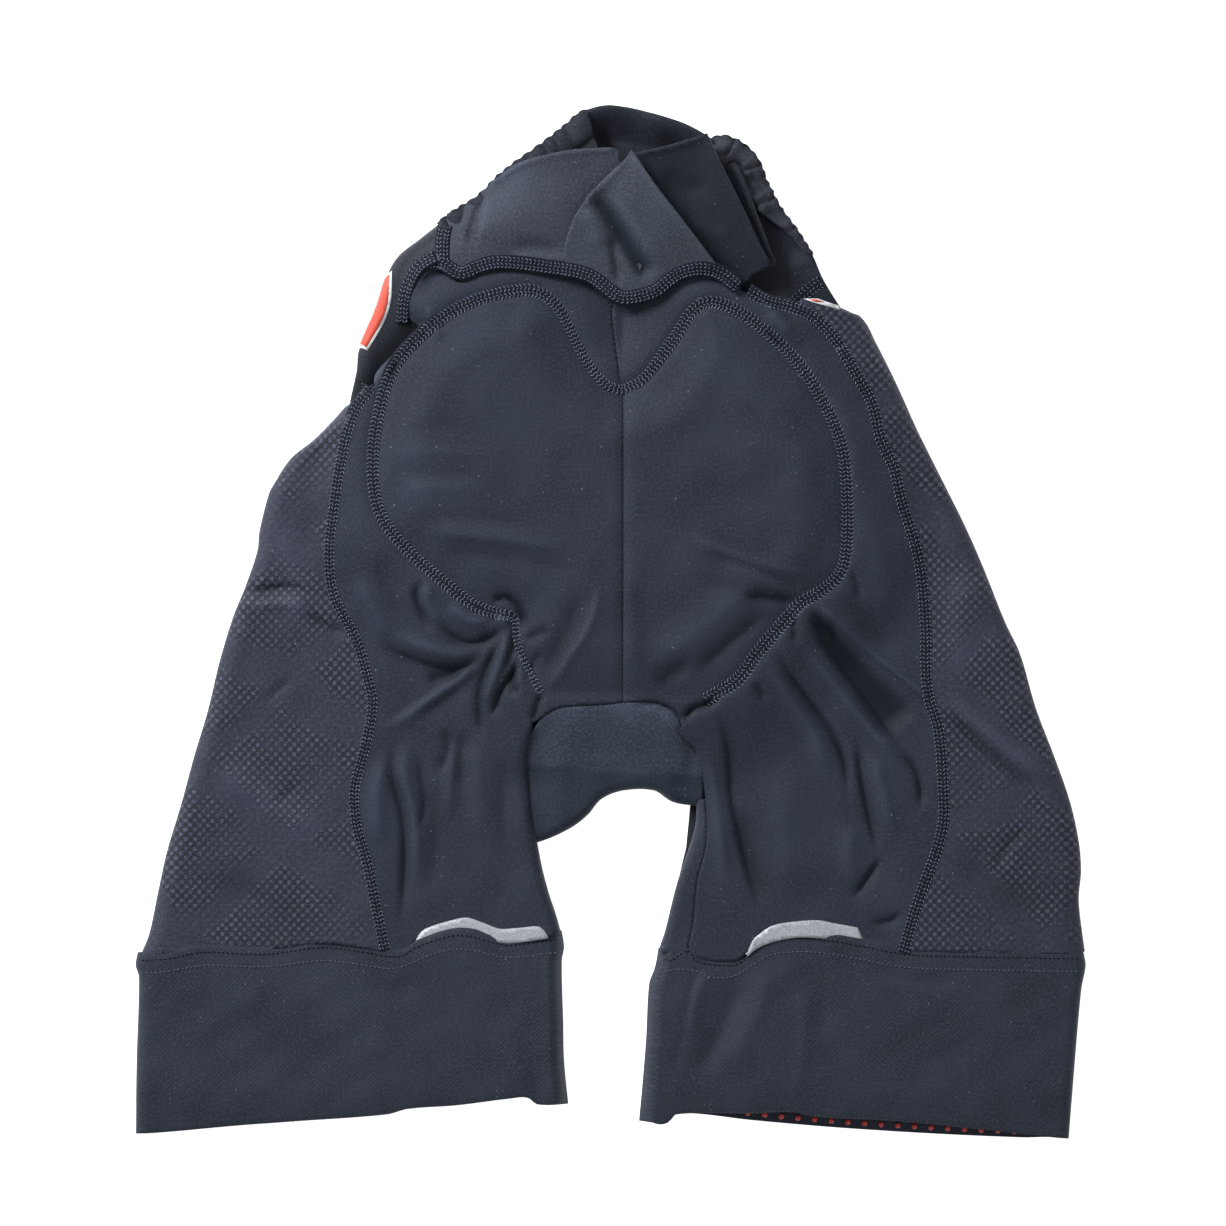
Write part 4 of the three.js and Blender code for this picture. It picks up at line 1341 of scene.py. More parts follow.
class Build:
    """What the sub-assemblies share: the heights, the painted fold shade and highlight, and a log line for
    each piece.
    """

    def __init__(self) -> None:
        """Samples the heights once."""
        corners = (-240, -160), (240, 180)
        self.top = Cached(LIE, *corners, GRID)
        # Painted shade and highlight of the seat folds, for the stretch attribute.
        self.tone = Cached(lambda x, y: fold_shading(x, y, SEAT_FOLDS), *corners, GRID)

    def kept(
        self, made: bpy.types.Object, rides: Rides, slot: str, finish: Finish | None,
        nodes: Sequence[str] = (),
    ) -> bpy.types.Object:
        """Gives a finished piece its body, where it rides on one, and its finish.

        Args:
            made: The piece.
            rides: The body it rides on, or "leg" or "cuff" and the side, which leave it on no body.
            slot: Not used.
            finish: Its finish, or None if its slots are filled already.
            nodes: The nodes it stands for.
        Returns:
            The piece.
        """
        if finish is not None:
            made.data.materials.clear()
            made.data.materials.append(material(finish))
        if isinstance(rides, str):
            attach(made, rides)
        elif rides[0] == "leg":
            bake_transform(made)
        else:
            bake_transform(made)
        if nodes:
            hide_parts(*nodes)
        LOG.info("%s: %d faces", made.name, len(made.data.polygons))
        return made

    def cloth(
        self, panel: Panel, rides: Rides, slot: str, finish: Finish,
        nodes: Sequence[str] = (), held: str = "", rests_on: Sequence[str] = (),
    ) -> None:
        """Makes a panel a finished piece.

        Args:
            panel: The panel.
            rides: As in kept, like the next three.
            slot: Its slot.
            finish: Its finish.
            nodes: Its nodes.
            held: Not used.
            rests_on: Not used.
        """
        made = self.kept(panel.made(), rides, slot, finish, nodes)

    def sewn(
        self, seam: Seam, rides: Rides, nodes: Sequence[str] = (), bed: Thread = SEAM_BED,
        thread: Thread = SEAM_THREAD,
    ) -> None:
        """Makes a seam a finished piece, which rides as in kept."""
        self.kept(seam.made(bed, thread), rides, "thread", None, nodes)


@dataclass
class RearPanels:
    """The two smooth rear panels, each in one with the back of its leg."""

    build: Build

    def left_under(self, y: Points) -> Points:
        """Height of what the left inner fold lies over."""
        fold = LEFT_FOLD(y)
        over = self.build.top(fold - 8.0, y)
        gusset = over - 4.5 * ease(-43, -60, y)
        return gusset + (FLOOR_CLOTH - gusset) * ease(-74, -92, y)

    def left_roll(self) -> Roll:
        """The fold along the inside of the left leg."""
        return Roll(LEFT_FOLD, 1, lambda y: 0.6 + 4.0 * ease(-43, -60, y), self.left_under)

    def left(self) -> None:
        """Builds the left panel."""
        roll, hips, top = self.left_roll(), SidePanels(self.build), self.build.top
        hip = swung(((-84, 131), (-88, 135), (-91, 142), (-88, 150), (-83, 159)))
        fold = swung(((-105, 108), (-102, 112), (-90, 124), (-84, 131)))
        ys = np.linspace(-45.5, -146, 52)
        inner = np.column_stack([roll.unrolled(ys, top, 7.0 * ease(-44, -56, ys)), ys])
        outline = joined(
            up(CENTRE, 146, -36), level(CROTCH, 6, -34), inner, level(LEFT_CUFF_LINE, -16, -99),
            up(LEFT_SEAM, -145, 106),
            (
                (-104, 106), (-102, 112), (-90, 124), (-84, 131), (-88, 135), (-91, 142), (-88, 150),
                (-83, 159),
            ),
            level(YOKE_SEAM, -83, 2),
        )

        def lay(q: Points, y: Points) -> Points:
            """Places the plan's points, rolled at the leg and lowered to the hip panel above it."""
            rolled_x, rolled_z = roll(q, y, top)
            leg = y < -44
            flat = top(q, y)
            off, _, _ = nearest(q, y, hip)
            share = ease(9, 0, off) * ease(126, 134, y)
            flat = flat * (1 - share) + (hips.hip_left(q, y) + 1.0) * share
            edge, _, _ = nearest(q, y, fold)
            flat = flat - 4.0 * ease(3.5, 0, edge) ** 1.5 * ease(-80, -88, q)
            return at(np.where(leg, rolled_x, q), y, np.where(leg, rolled_z, flat))

        self.build.cloth(
            Panel("rear_cloth_left", outline, lay, tone=self.build.tone), ("leg", "left"), "knit", REAR_KNIT,
            ("rear_panel_left", "rear_panel_leg_left"), "draped", ["seat_pad", "front_cloth_left"],
        )

    def right(self) -> None:
        """Builds the right panel."""
        outline = joined(
            up(CENTRE, -36, 146), level(YOKE_SEAM, 2, 58),
            ((58, 147), (66, 144), (72, 141), (78, 141), (85, 138), (91, 134), (99, 127)),
            up(RIGHT_SEAM, 127, -146), level(RIGHT_CUFF_LINE, 130, 35),
            up(RIGHT_INSEAM, -148, -48), level(CROTCH, 32, 6),
        )
        panel = Panel("rear_cloth_right", outline, raised(self.build.top), tone=self.build.tone)
        self.build.cloth(
            panel, ("leg", "right"), "knit", REAR_KNIT, ("rear_panel_right", "rear_panel_leg_right"),
            "draped", ["seat_pad", "front_cloth_right"],
        )


@dataclass
class SidePanels:
    """The embossed panels that wrap the outside of the hips and legs."""

    build: Build
    hip_left: Hanging = field(default_factory=lambda: Hanging((
        (-116, 95, 6), (-112, 112, 8), (-104, 140, 9), (-95, 160, 10), (-84, 170, 12), (-72, 181, 15),
        (-73, 161, 21), (-82, 159, 19), (-90, 148, 15), (-91, 137, 12), (-84, 128, 10), (-96, 120, 7),
        (-104, 104, 5), (-98, 96, 5), (-88, 116, 8),
    )))

    def edge(self, side: Side) -> Roll:
        """The outside fold of one side."""
        return Roll(LEFT_OUTER if side is Side.LEFT else RIGHT_OUTER, side.value, 7.5)

    def leg(self, side: Side) -> None:
        """Builds the long panel of one side.

        Args:
            side: Which side.
        """
        roll, top = self.edge(side), self.build.top
        if side is Side.LEFT:
            seam, line, ends, seam_top, high = LEFT_SEAM, LEFT_CUFF_LINE, (-205, -99), 104, 98
            fold = ((-104, 106), (-109, 103), (-114, 99), (-118, 96))
            nodes = ("side_panel_leg_left",)
        else:
            seam, line, ends, seam_top, high = RIGHT_SEAM, RIGHT_CUFF_LINE, (205, 131), 126, 138
            fold = ((99, 127), (91, 134), (84, 141), (87, 144), (94, 142), (102, 140), (108, 137))
            nodes = ("side_panel_leg_right", "side_panel_hip_right")
        ys = np.linspace(high, -146, 124)
        outer = np.column_stack([roll.unrolled(ys, top, 14.0), ys])
        outline = joined(swung(fold), outer, level(line, *ends), up(seam, -144, seam_top))
        self.build.cloth(
            Panel(f"side_cloth_{side.word}", outline, rolled(roll, top), tone=self.build.tone),
            ("leg", side.word), "embossed_knit", SIDE_KNIT, nodes, "draped", [f"front_cloth_{side.word}"],
        )

    def hip(self) -> None:
        """Builds the upper part of the left side panel, which lies lower than the padded seat."""
        roll = Roll(LEFT_HIP_OUTER, -1, 6.0)
        ys = np.linspace(181, 90, 44)
        outer = np.column_stack([roll.unrolled(ys, self.hip_left, 10.0), ys])
        outline = joined(
            outer,
            ((-100, 92), (-94, 104), (-84, 118), (-80, 130), (-84, 140), (-83, 150), (-78, 158)),
            ((-73, 161), (-72, 171), (-72, 181)),
        )
        mouth = swung(((-106, 102), (-102, 110), (-91, 122), (-84, 130)))

        def shade(x: Points, y: Points) -> Points:
            """Painted shade in the hollow under the seat's rolled edge."""
            off, _, _ = nearest(x, y, mouth)
            return -ease(13, 3, off)

        self.build.cloth(
            Panel("side_cloth_hip_left", outline, rolled(roll, self.hip_left), tone=shade), "seat",
            "embossed_knit", HIP_KNIT, ("side_panel_hip_left",), "draped", ["front_cloth_left"],
        )

    def badge_left(self) -> None:
        """Builds the printed badge that wraps over the left hip edge."""
        roll = Roll(LEFT_HIP_OUTER, -1, 6.0)
        for name, finish, lift, grow, nodes in (
            ("badge_border_left", BADGE_WHITE, 0.7, 0.0, ()),
            ("badge_face_left", BADGE_RED, 0.95, 1.5, ("hip_badge_left",)),
        ):
            ys = np.linspace(156 - grow, 121 + grow, 24)
            edge = LEFT_HIP_OUTER(ys)
            wide = 6.0 * np.sin(np.pi * np.clip((157 - ys) / 45, 0, 1)) ** 0.7
            inner = np.column_stack([edge + np.maximum(wide - grow * 0.8, 0.3), ys])
            outer = np.column_stack([edge - 16 + grow, ys])[::-1]

            def lay(q: Points, y: Points, lift: float = lift) -> Points:
                """Places the plan's points."""
                x, z = roll(q, y, self.hip_left)
                out = ease(8, -3, q - LEFT_HIP_OUTER(y))
                return at(x - lift * out, y, z + lift * (1 - out * 0.6))

            panel = Panel(name, joined(inner, outer), lay, 1.6, 0.25)
            self.build.cloth(panel, "seat", "badge", finish, nodes)

    def badge_right(self) -> None:
        """Builds the sliver of the right badge that shows over the edge."""
        on_hip = rolled(self.edge(Side.RIGHT), self.build.top)
        border = ((86, 143.5), (92, 143.6), (103, 140.6), (102, 138.8), (92, 141.4))
        face = ((88, 143.4), (92, 143.2), (95, 142.2), (91, 142.2))
        for name, finish, lift, outline, nodes in (
            ("badge_border_right", BADGE_WHITE, 0.75, border, ()),
            ("badge_face_right", BADGE_RED, 1.0, face, ("hip_badge_right",)),
        ):

            def lay(q: Points, y: Points, lift: float = lift) -> Points:
                """Places the plan's points."""
                return on_hip(q, y) + np.array([0, 0, lift])

            panel = Panel(name, joined(np.array(outline, float)), lay, 1.5, 0.25)
            self.build.cloth(panel, "seat", "badge", finish, nodes)


@dataclass
class Crotch:
    """The gusset between the legs, and the strip of front panel that rolls up inside the right leg."""

    build: Build

    def top(self, x: Points, y: Points) -> Points:
        """Height of the gusset's upper layer."""
        sag = 0.8 * ease(-38, -60, y) + 2.2 * ease(22, 34, np.abs(x - 2)) * ease(-40, -52, y)
        line = Fold(((-30, -67), (-5, -64), (30, -67)), -0.5, 2.0)
        pucker = Fold(((33, -40), (38, -50), (41, -60)), -1.6, 2.5)
        fan = Fold(((24, -37), (31, -52), (33, -70)), 1.3, 3.5)
        return self.build.top(x, y) - sag + line(x, y) + pucker(x, y) + fan(x, y) - 0.4

    def gusset(self) -> None:
        """Builds the gusset."""
        radius = 5.0

        def lay(x: Points, q: Points) -> Points:
            """Places the plan's points, folding them down over the arch."""
            edge = ARCH(x)
            upper = np.maximum(q, edge + radius)
            height = self.top(x, upper)
            half = (height - FLOOR_CLOTH) / 2
            turn = math.pi * np.sqrt((radius**2 + half**2) / 2)
            gone = edge + radius - q
            angle = math.pi * np.clip(gone / turn, 0, 1)
            back = np.maximum(gone - turn, 0)
            y = np.where(gone <= 0, q, edge + radius * (1 - np.sin(angle)) + back)
            z = np.where(gone <= 0, height, FLOOR_CLOTH + 1.2 + (half - 0.6) * (1 + np.cos(angle)))
            return at(x, y, z)

        low = level(ARCH, -38, 39)
        low[:, 1] -= 22
        outline = joined(
            level(CROTCH, -30, 31), ((34, -47), (41, -58), (42, -72), (41, -82)),
            low[::-1], ((-39, -112), (-40, -60), (-33, -46)),
        )
        # Painted shade over the lower gusset, which curves away below its crease.
        panel = Panel("gusset_cloth", outline, lay, tone=lambda x, y: -0.6 * ease(-63, -67, y + 0.06 * x))
        under = ["front_cloth_left", "front_cloth_right"]
        self.build.cloth(panel, "seat", "knit", GUSSET_KNIT, ("gusset",), "draped", under)

    def strip(self) -> None:
        """Builds the strip of front panel inside the right leg."""
        roll = Roll(RIGHT_INNER, -1, 3.5)

        def top(x: Points, y: Points) -> Points:
            """Height of the strip."""
            return self.build.top(x, y) - 0.3 - 1.0 * ease(-96, -80, y)

        ys = np.linspace(-80, -146, 34)
        inner = np.column_stack([roll.unrolled(ys, top, 8.0), ys])
        outline = joined(up(RIGHT_INSEAM, -147, -78), np.array([[40.0, -78.5]]), inner)
        self.build.cloth(
            Panel("front_strip_right", outline, rolled(roll, top)), ("leg", "right"), "knit", REAR_KNIT, (),
            "folded", ["front_cloth_right"],
        )


@dataclass
class FrontPanels:
    """The front, which lies on the floor under everything else."""

    build: Build

    def height(self, x: Points, y: Points) -> Points:
        """Height of the front cloth: flat, and standing a little at the waist."""
        rise = 3.5 * ease(196, 226, y) + 0.8 * ripple(x, y, 30, 8) * ease(190, 205, y)
        return FLOOR_CLOTH + rise + 1.2 * ease(196, 206, y)

    def panel(self, side: Side) -> None:
        """Builds one front panel.

        Args:
            side: Which side.
        """
        if side is Side.LEFT:
            outer, ys = LEFT_OUTER, np.linspace(-146, 90, 100)
            waist = swung((
                (-106, 98), (-101, 120), (-90, 152), (-76, 170), (-60, 184), (-48, 198), (-35, 207),
                (-21, 218),
                (-10, 226), (2, 228.5),
            ))
            inner = np.array([(2, -68), (-20, -84), (-34, -98), (-32, -108), (-30, -125), (-26, -146)])
        else:
            outer, ys = RIGHT_OUTER, np.linspace(-146, 130, 110)
            waist = swung((
                (102, 134), (92, 150), (82, 168), (70, 186), (60, 200), (48, 211), (31, 221), (14, 226.5),
                (2, 228.5),
            ))
            inner = np.array([(2, -68), (20, -70), (36, -80), (34, -100), (28, -125), (26, -146)])
        edge = np.column_stack([outer(ys) - 9 * side.value, ys])
        self.build.cloth(
            Panel(f"front_cloth_{side.word}", joined(edge, waist, inner), raised(self.height), 3.0),
            ("leg", side.word), "knit", INNER_KNIT,
            (f"front_panel_{side.word}", f"front_panel_leg_{side.word}"), "laid", ["gusset_cloth"],
        )


@dataclass
class Yoke:
    """The rear waist, which has slumped into three flaps, and what shows of the front waist behind it."""

    build: Build

    def flap(
        self, name: str, outline: Points, surface: Hanging, finish: Knit, nodes: Sequence[str] = ()
    ) -> None:
        """Builds one flap of cloth from its outline and how it hangs."""
        # The flap's folds give its painted shade and highlight.
        panel = Panel(name, outline, raised(surface), 1.4, 1.1, lambda x, y: fold_shading(x, y, surface.folds))
        self.build.cloth(panel, "seat", "knit", finish, nodes, "folded", ["front_cloth_left"])

    def left(self) -> Hanging:
        """How the big left flap lies."""
        return Hanging((
            (-73, 161, 20.5), (-58, 158, 20.5), (-40, 159, 21.5), (-20, 157, 22.5), (2, 147, 21.5),
            (-72, 180, 15), (-62, 186, 15), (-52, 194, 18), (-38, 203, 20), (-20, 208, 22),
            (2, 209.5, 24),
            (6, 202, 23.5), (0, 185, 21), (-10, 175, 21.5), (-35, 180, 25), (-52, 176, 24), (4, 165, 20),
        ), (
            Fold(((-56, 192), (-60, 178), (-62, 170), (-57, 166)), -1.8, 2.4, 0.5),
            Fold(((-52, 190), (-56, 176), (-56, 168)), 1.4, 3.2),
            Fold(((-47, 163), (-30, 162), (-18, 161.5), (-6, 164)), 1.5, 2.2, -0.3),
            Fold(((-44, 167), (-30, 167), (-20, 166)), -0.8, 2.6),
            Fold(((-40, 196), (-20, 200), (0, 203)), -0.6, 6),
            Fold(((-53, 194), (-38, 203), (-20, 208), (3, 209.5)), 1.3, 1.5, 0.0, 0.05),
            Fold(((-2, 150), (-3, 162), (-6, 172)), -1.4, 3.0),
        ))

    def middle(self) -> Hanging:
        """How the middle flap lies."""
        return Hanging((
            (9, 208, 29), (0, 196, 28), (-8, 188, 27), (-15, 179, 26), (-19, 170, 25), (-20, 163, 24),
            (-9, 155, 23), (3, 147, 22.4), (20, 148.5, 22), (31, 156, 22.4), (49, 156, 22.8),
            (57, 148, 22.6),
            (11, 204, 31), (20, 192, 31.5), (29, 180, 31), (46, 160, 27), (10, 186, 30), (25, 168, 27.5),
            (0, 170, 23.5),
        ), (
            Fold(((-9, 189), (-2, 182), (5, 171), (12, 160), (18, 151)), -3.4, 4.3, 0.3, 0.15, 2.0),
            Fold(((-12, 184), (-6, 174), (-4, 164)), 1.4, 4.0),
            Fold(((0, 174), (2, 162), (4, 148)), -2.0, 2.6, 0.3),
            Fold(((-8, 190), (4, 184), (16, 168), (26, 154)), 1.6, 3.0, -0.2),
            Fold(((10, 207), (20, 193), (30, 180), (46, 160), (57, 148)), 1.2, 1.6, 0.0, 0.05),
            Fold(((9, 208), (1, 197), (-8, 190)), 0.9, 1.4, 0.0, 0.05),
        ))

    def right(self) -> Hanging:
        """How the dark right flap lies."""
        return Hanging((
            (12, 206, 26), (25, 209, 26), (43, 215, 27), (48, 204, 27), (56, 188, 26), (64, 170, 24),
            (71, 158, 22), (60, 152, 18), (55, 150, 16), (46, 160, 19), (30, 180, 22), (20, 194, 24),
            (36, 196, 23), (50, 176, 22),
        ), (
            Fold(((13, 207.5), (25, 210), (43, 215)), 1.2, 1.5, 0.0, 0.05),
            Fold(((43, 215), (48, 204), (56, 188), (64, 171), (71, 158)), 1.3, 1.6, 0.0, 0.05),
            Fold(((22, 200), (34, 192), (46, 196)), -1.0, 5),
            Fold(((34, 178), (46, 172), (56, 172)), 0.8, 4),
        ))

    def make(self) -> None:
        """Builds the flaps and the folded rim beside them."""
        left = joined(
            ((-72, 181), (-73, 170), (-73.5, 161)), level(YOKE_SEAM, -74, 8),
            ((12, 150), (18, 170), (14, 190), (6, 203)),
            (
                (5, 204), (3, 209.5), (-8, 209.5), (-20, 208.5), (-38, 204), (-50, 196.5), (-56, 191),
                (-64, 185),
                (-72, 181),
            ),
        )
        self.flap("rear_yoke_left", left, self.left(), YOKE_KNIT, ("rear_yoke",))
        middle = joined(
            ((9.5, 208.5), (6, 203.5), (-8, 190), (-15, 180), (-19, 170), (-20.5, 162)),
            level(YOKE_SEAM, -19, 57),
            ((57.5, 148), (46.5, 159), (38, 170), (29.5, 181), (20.5, 192.5), (11.5, 206)),
        )
        self.flap("rear_yoke_middle", middle, self.middle(), FLAP_KNIT)
        right = joined(
            ((10, 207), (24, 210), (34, 213), (43, 216)),
            ((44, 213.5), (48, 204.5), (56, 188.5), (64.5, 171), (71, 159), (70, 157)),
            ((64, 154), (56, 148), (44, 152), (30, 168), (16, 186), (8, 200)),
        )
        self.flap("rear_yoke_right", right, self.right(), SHADED_KNIT)
        rim = joined(
            ((50, 200), (55, 203.5), (60, 195), (65, 181), (70, 168), (73.5, 160), (72, 157)),
            ((70, 156), (62, 160), (52, 180), (46, 194)),
        )
        surface = Hanging(
            ((55, 203, 20), (60, 194, 19.5), (65, 180, 19), (73, 160, 18.5), (62, 160, 15), (50, 190, 16)),
            (Fold(((55, 203), (59, 195), (65, 180), (72, 161)), 1.3, 1.5, 0.0, 0.05),),
        )
        self.flap("rear_yoke_fold", rim, surface, FRONT_KNIT)


@dataclass
class Waist:
    """The elastic edge of the front waist, gathered at both ends."""

    build: Build

    def gathered(self, name: str, outline: Points, surface: Surface, nodes: Sequence[str] = ()) -> None:
        """Builds one gathered length from its outline and its height."""
        panel = Panel(name, outline, raised(surface), 1.1, 1.2)
        self.build.cloth(panel, "seat", "elastic", ELASTIC_KNIT, nodes, "gathered", ["front_cloth_left"])

    def scallop(self, path: Points, deep: float, pitch: float, seed: int) -> Points:
        """Gives a gathered edge its small scallops.

        Args:
            path: The edge.
            deep: How far they stand out.
            pitch: Their spacing.
            seed: Varies them.
        Returns:
            The scalloped edge.
        """
        step, stretch = 0.9, 9
        path = evenly(path, step)
        run = np.gradient(path, axis=0)
        out = np.column_stack([-run[:, 1], run[:, 0]])
        out /= np.linalg.norm(out, axis=1, keepdims=True)
        gone = np.arange(len(path)) * step
        marks = np.arange(0, gone[-1] + stretch, stretch)
        wander = np.random.default_rng(seed).uniform(-1.2, 1.2, int(gone[-1] / stretch) + 2)[: len(marks)]
        phase = (gone + np.interp(gone, marks, wander)) * math.pi / pitch
        return path + out * (np.abs(np.sin(phase)) * deep)[:, None]

    def left(self) -> None:
        """Builds the gathered elastic at the left."""
        top = swung((
            (-76, 177), (-67, 183.5), (-58, 189), (-49, 198), (-40, 205), (-30, 212), (-21, 219), (-14, 225),
            (-10, 227),
        ))

        def height(x: Points, y: Points) -> Points:
            """Height of the left gathers."""
            off, share, _ = nearest(x, y, top)
            pucker = np.sin(share * 62 + 2.0 * np.sin(share * 17)) * ease(10, 1, off)
            return 14.5 + 2.5 * np.sqrt(np.maximum(0, 1 - ((off - 5) / 6.5) ** 2)) + 1.1 * pucker

        low = ((-9, 224), (-7, 216), (-5, 209), (-14, 205), (-34, 198), (-50, 188), (-62, 178), (-72, 172))
        outline = joined(self.scallop(top, 0.9, 5.2, 2), low)
        self.gathered("waist_gathers_left", outline, height, ("waist_elastic_rear",))

    def middle(self) -> None:
        """Builds the standing edge over the middle."""
        crest = swung((
            (-15, 225), (-9, 227.5), (-3, 229), (3, 229), (14, 227), (31, 222), (43, 216), (46, 213),
        ))

        def height(x: Points, y: Points) -> Points:
            """Height of the standing front edge."""
            off, _, _ = nearest(x, y, crest)
            return 5 + 11 * ease(16, 0, off) + 0.8 * ripple(x, y, 16, 4)

        low = swung(((47, 208), (30, 206), (10, 204), (-10, 206), (-22, 212)))
        self.gathered("waist_gathers_front", joined(crest, low), height, ("waist_elastic_front",))

    def right(self) -> None:
        """Builds the gathered elastic at the right."""
        hump = swung((
            (42, 212), (46, 215), (52, 215.5), (58, 213), (63, 209), (67, 203), (69, 197), (71.5, 192),
            (75, 185),
            (80, 178), (85, 171), (90, 163),
        ))

        def height(x: Points, y: Points) -> Points:
            """Height of the right gathers."""
            off, share, _ = nearest(x, y, hump)
            fan = np.sin(share * 60 + 1.5 * np.sin(share * 31)) * ease(18, 1, off) * ease(1.0, 0.7, share)
            crumple = 1.1 * ripple(x, y, 7, 12) * ease(3, 8, off)
            return 13 + 4.5 * ease(-1, 6, off) + 1.1 * fan + crumple * ease(20, 12, off)

        low = swung(((88, 163), (80, 172), (72, 178), (64, 184), (58, 192), (50, 200), (42, 205)))
        self.gathered("waist_gathers_right", joined(self.scallop(hump, 0.8, 4.6, 5), low), height)

    def inside(self) -> None:
        """Builds the inside of the front panel, which shows beside the yoke, and the seam on it."""
        surface = Hanging((
            (71, 190, 12), (80, 178, 11), (89, 165, 10), (96, 152, 9), (103, 140, 7), (60, 185, 9),
            (70, 165, 10),
            (78, 152, 10), (88, 144, 9), (60, 150, 9), (58, 165, 8),
        ), (
            Fold(((68, 186), (76, 172), (84, 156)), -1.8, 4),
            Fold(((73, 182), (80, 172), (84, 166)), 1.5, 2.5),
            Fold(((78, 158), (86, 160), (92, 158)), 0.8, 3),
        ))
        outline = joined(
            ((62, 196), (69, 196), (74, 187), (80, 178), (89, 165), (95, 152), (102.5, 140)),
            ((102, 132), (88, 136), (70, 140), (56, 144), (48, 156), (52, 176), (58, 190)),
        )
        lay = raised(surface)
        self.build.cloth(
            Panel("front_waist_inside", outline, lay, 1.6), "seat", "knit", FRONT_KNIT, (), "folded",
            ["front_cloth_right"],
        )
        path = swung(((94, 151.5), (90, 149), (84, 144), (81, 141)))
        self.build.sewn(Seam("front_side_seam_right", path, lay, Stitch.FLATLOCK, 7.0), "seat")


